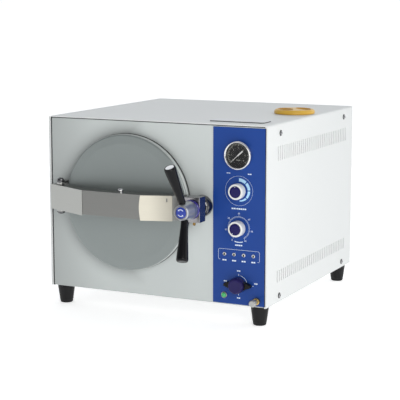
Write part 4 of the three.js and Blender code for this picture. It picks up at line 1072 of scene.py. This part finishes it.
def gauge():
    origin = panel_point("gauge_case")
    profile = [(25.2, 2), (27.2, 1.9, 0.3), (27.7, 2.6, 0.4), (27.7, 10.4, 1.2), (26.4, 12.5, 1),
               (25, 12.5, 0.5), (23.8, 11.2, 0.4), (23.8, 4.2), (25.2, 2)]
    lathe_piece("gauge_bezel", profile, origin, CHROME, "gauge_case", sides=96)
    profile = [(0, -22), (24.8, -22, 1), (24.9, 1.6), (23.5, 3.9), (23.5, 4.8), (0, 4.8)]
    lathe_piece("gauge_can", profile, origin, STEEL)
    lathe_piece("gauge_dial", [(0, 4.9), (23.7, 4.9), (23.7, 5.3), (0, 5.3)], origin, DIAL)
    flat = front_matrix(FRONT_Y - 5.35 * MM)
    marks = bmesh.new()
    steps = 30
    for i in range(steps + 1):
        degrees = GAUGE_START - i * GAUGE_SWEEP / steps
        major = i % 5 == 0
        ray(marks, origin.x, origin.z, 17.8 if major else 19, 21.4, 0.6 if major else 0.35, degrees, flat)
        if major:
            a = math.radians(degrees)
            lettering(marks, str(i // 5), origin.x + 14 * MM * math.cos(a), origin.z + 14 * MM * math.sin(a),
                      4.2, flat)
    caption(marks, origin.x, origin.z - 9 * MM, (2.5, 1.5, 2.5), flat, 1.2)
    sector(marks, origin.x, origin.z, 21.6 * MM, 22.0 * MM, GAUGE_START - GAUGE_SWEEP, GAUGE_START, flat)
    piece("gauge_marks", marks, INK_DIM)
    a = math.radians(GAUGE_START)
    matrix = face_matrix((origin.x, FRONT_Y - 7.4 * MM, origin.z), (math.cos(a), 0, math.sin(a)),
                         (-math.sin(a), 0, math.cos(a)))
    blade = [(-13, -1.3), (-3, -1.2), (0, -0.5), (19.5, -0.3), (19.5, 0.3), (0, 0.5), (-3, 1.2), (-13, 1.3)]
    needle = prism(bmesh.new(), [(x * MM, z * MM) for x, z in blade], -0.3 * MM, 0.3 * MM, matrix, 0.1 * MM)
    turned(needle, mm([(0, 5.7), (1.3, 5.7), (1.3, 8.4, 0.4), (0, 8.9)]), origin, OUT, 32)
    piece("gauge_needle", needle, NEEDLE, "gauge_pointer", body="pointer")
    lathe_piece("gauge_window", [(0, 9.9), (23.2, 9.9), (23.2, 10.6, 0.3), (0, 10.9)], origin, GLASS,
                "gauge_glass", sides=64)


def knobs():
    for name, body, mark in (("temp_knob", "temp_dial", 90), ("timer_knob", "timer_dial", TIMER_START)):
        origin = panel_point(name)
        profile = [(0, -9), (3, -9), (3, 2.1), (13.9, 2.1, 0.5), (15.1, 4.4, 1.5), (15.2, 17.4, 1.5),
                   (14.5, 19.6, 0.8), (11.4, 19.6, 0.3), (11.4, 18.1), (0, 18.1)]
        bm = flute(turned(bmesh.new(), mm(profile), origin, OUT, 144), origin, (0, 2), 14.8, 0.02, 36)
        piece(name + "_skirt", bm, WHITE, name, body=body)
        lathe_piece(name + "_inlay", [(0, 18.3), (11.1, 18.3), (11.1, 20.8, 0.8), (8, 21.3, 4), (0, 21.4)],
                    origin, NAVY, body=body, sides=64)
        line = bmesh.new()
        ray(line, origin.x, origin.z, 7.5, 10.6, 0.8, mark, front_matrix(FRONT_Y - 21.1 * MM))
        piece(name + "_mark", line, INK, body=body)


def selector():
    origin = panel_point("selector_knob")
    profile = [(0, -9), (4, -9), (4, 2.1), (14.4, 2.1), (15.4, 3.2, 0.8), (15.4, 17, 2), (13.6, 20.6, 1.6),
               (11, 21.1, 2), (0, 20.4)]
    lathe_piece("selector_cap", profile, origin, PURPLE, "selector_knob", body="selector", sides=96)
    low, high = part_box("selector_knob")
    wing = (high.x - low.x) / 2 - 0.2 * MM
    body = 12 * MM
    tall = 8.6 * MM
    outline = [(-wing, -2.6 * MM, MM), (-body, -tall, 6 * MM), (body, -tall, 6 * MM), (wing, -2.6 * MM, MM),
               (wing, 2.6 * MM, MM), (body, tall, 6 * MM), (-body, tall, 6 * MM), (-wing, 2.6 * MM, MM)]
    places = [(origin.x + a, origin.z + b) for a, b in rounded(outline, closed=True)]
    bm = prism(bmesh.new(), places, 2.2 * MM, 12 * MM, front_matrix(FRONT_Y), bevel=1.2 * MM, segments=3)
    piece("selector_wings", bm, BLACK, body="selector")


def lamps():
    low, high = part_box("indicator_board")
    board = block(bmesh.new(), (low.x, high.y - 2 * MM, low.z), high, 0.3 * MM)
    piece("lamp_board", board, BOARD, "indicator_board")
    lenses, collars = bmesh.new(), bmesh.new()
    for x, z in lamp_places():
        origin = (x, FRONT_Y, z)
        turned(lenses, mm([(0, -6), (1.9, -6), (1.9, 2.2, 0.5), (0, 2.8)]), origin, OUT, 24)
        ring = [(2.1, -1), (2.7, -1), (2.7, 1.6), (3.7, 1.6), (3.7, 2.1, 0.3), (2.9, 2.9, 0.4), (2.1, 2.5),
                (2.1, -1)]
        turned(collars, mm(ring), origin, OUT, 32)
    piece("lamp_lenses", lenses, LAMP)
    piece("lamp_collars", collars, CHROME)


def power():
    origin = panel_point("power_button")
    profile = [(0, -6), (4.7, -6), (4.7, 4.6, 1), (3.2, 5.8, 1.5), (0, 6)]
    lathe_piece("power_lens", profile, origin, GREEN, "power_button", body="button", sides=48)
    profile = [(4.95, 1.7), (6.4, 1.7), (6.4, 2.4, 0.3), (5.6, 3.6, 0.5), (4.95, 3.4, 0.2), (4.95, 1.7)]
    lathe_piece("power_collar", profile, origin, STEEL, sides=48)


def drain():
    origin = panel_point("drain_fitting")
    profile = [(0, -14), (5.5, -14), (5.5, 1.8), (7, 1.8, 0.3), (7, 7.6, 0.6), (6, 8.8, 0.4), (3, 8.8),
               (3, -9), (0, -9)]
    lathe_piece("drain_nut", profile, origin, BRASS, "drain_fitting")
    profile = [(0, -8), (2.2, -8), (2.2, 9.3), (4.5, 9.3, 0.3), (4.5, 17, 0.6), (5.4, 18.4, 0.6),
               (7.3, 20, 0.6), (7.3, 24.6, 0.8), (5.5, 27, 0.8), (0, 27)]
    bm = flute(turned(bmesh.new(), mm(profile), origin, OUT, 96), origin, (0, 2), 7, 0.05, 24)
    piece("drain_wheel", bm, STEEL, "drain_knob", body="drain")


# ---- CAD nodes that stay -----------------------------------------------------------------------
def dress():
    """Gives every CAD node that is still shown its own finish."""
    looks = {
        "base_pan": PAN, "top_frame": STEEL, "water_tank": PLASTIC, "insulation_jacket": WOOL,
        "tray_rack": TRAY, "door_stud": STEEL, "thermostat": MATT_BLACK, "timer_unit": MATT_BLACK,
        "selector_valve": BRASS, "power_inlet": MATT_BLACK, "steam_pipe": COPPER,
    }
    for name, look in looks.items():
        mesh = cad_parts[name].data
        mesh.materials.clear()
        mesh.materials.append(look)


# ---- studio ------------------------------------------------------------------------------------
def area_light(name, place, target, size, power, colour=(1, 1, 1)):
    data = bpy.data.lights.new(name, "AREA")
    data.shape = "RECTANGLE"
    data.size, data.size_y = size
    data.energy = power
    data.color = colour
    made = linked(name, data)
    made.location = place
    made.rotation_euler = (Vector(target) - Vector(place)).to_track_quat("-Z", "Y").to_euler()


WARM = (1, 0.985, 0.96)
FLOOR_REACH = 40  # metres from the middle to the floor's edge


def studio():
    scene = bpy.context.scene
    scene.view_settings.view_transform = "Standard"
    scene.world = bpy.data.worlds.new("studio")
    scene.world.use_nodes = True
    tree = scene.world.node_tree
    background = tree.nodes["Background"]
    feed(tree, background.inputs["Color"], (0.95, 0.975, 1, 1))
    backness = across_of(tree, coords(tree, "Generated"), "Y")
    feed(tree, background.inputs["Strength"], ramp(tree, backness, -0.3, 0.6, 0.30, 1.06))
    floor = bmesh.new()
    prism(floor, box_outline(-FLOOR_REACH, FLOOR_REACH, -FLOOR_REACH, FLOOR_REACH), -0.05, 0, PLAN)
    mesh = bpy.data.meshes.new("floor")
    floor.to_mesh(mesh)
    floor.free()
    paper = finish("floor_paper", (0.90, 0.90, 0.90), 0.85, grain=60, bump=0.0, mottle=0.01)
    glow = paper.node_tree.nodes["Principled BSDF"]
    glow.inputs["Emission Color"].default_value = (1, 1, 1, 1)
    glow.inputs["Emission Strength"].default_value = 0.55
    mesh.materials.append(paper)
    linked("floor", mesh)
    middle = (CAD_BOX[0] + CAD_BOX[1]) / 2
    area_light("key", (1.0, -1.25, 0.65), middle, (0.8, 0.8), 9.0, WARM)
    area_light("side", (2.4, 0.6, 1.0), middle, (1.4, 1.2), 2.7, WARM)
    area_light("left", (-2.2, -0.5, 0.9), middle, (1.2, 1.2), 0.3)


def camera():
    """The photo's view, found by fitting the cabinet's corners."""
    azimuth, elevation, distance = math.radians(25.85), math.radians(9.15), 2.4986
    target = at(100.35, 0, 200.76)
    back = Vector((math.sin(azimuth) * math.cos(elevation), -math.cos(azimuth) * math.cos(elevation),
                   math.sin(elevation)))
    data = bpy.data.cameras.new("camera")
    data.lens, data.sensor_width = 116.54, 36
    made = linked("camera", data)
    made.location = target + back * distance
    made.rotation_euler = (-back).to_track_quat("-Z", "Y").to_euler()
    bpy.context.scene.camera = made


for build in (studio, camera, cover, front, feet, screws, top, rear, chamber, door, bar, hinge, latch,
              panel_print, gauge, knobs, selector, lamps, power, drain, dress):
    build()
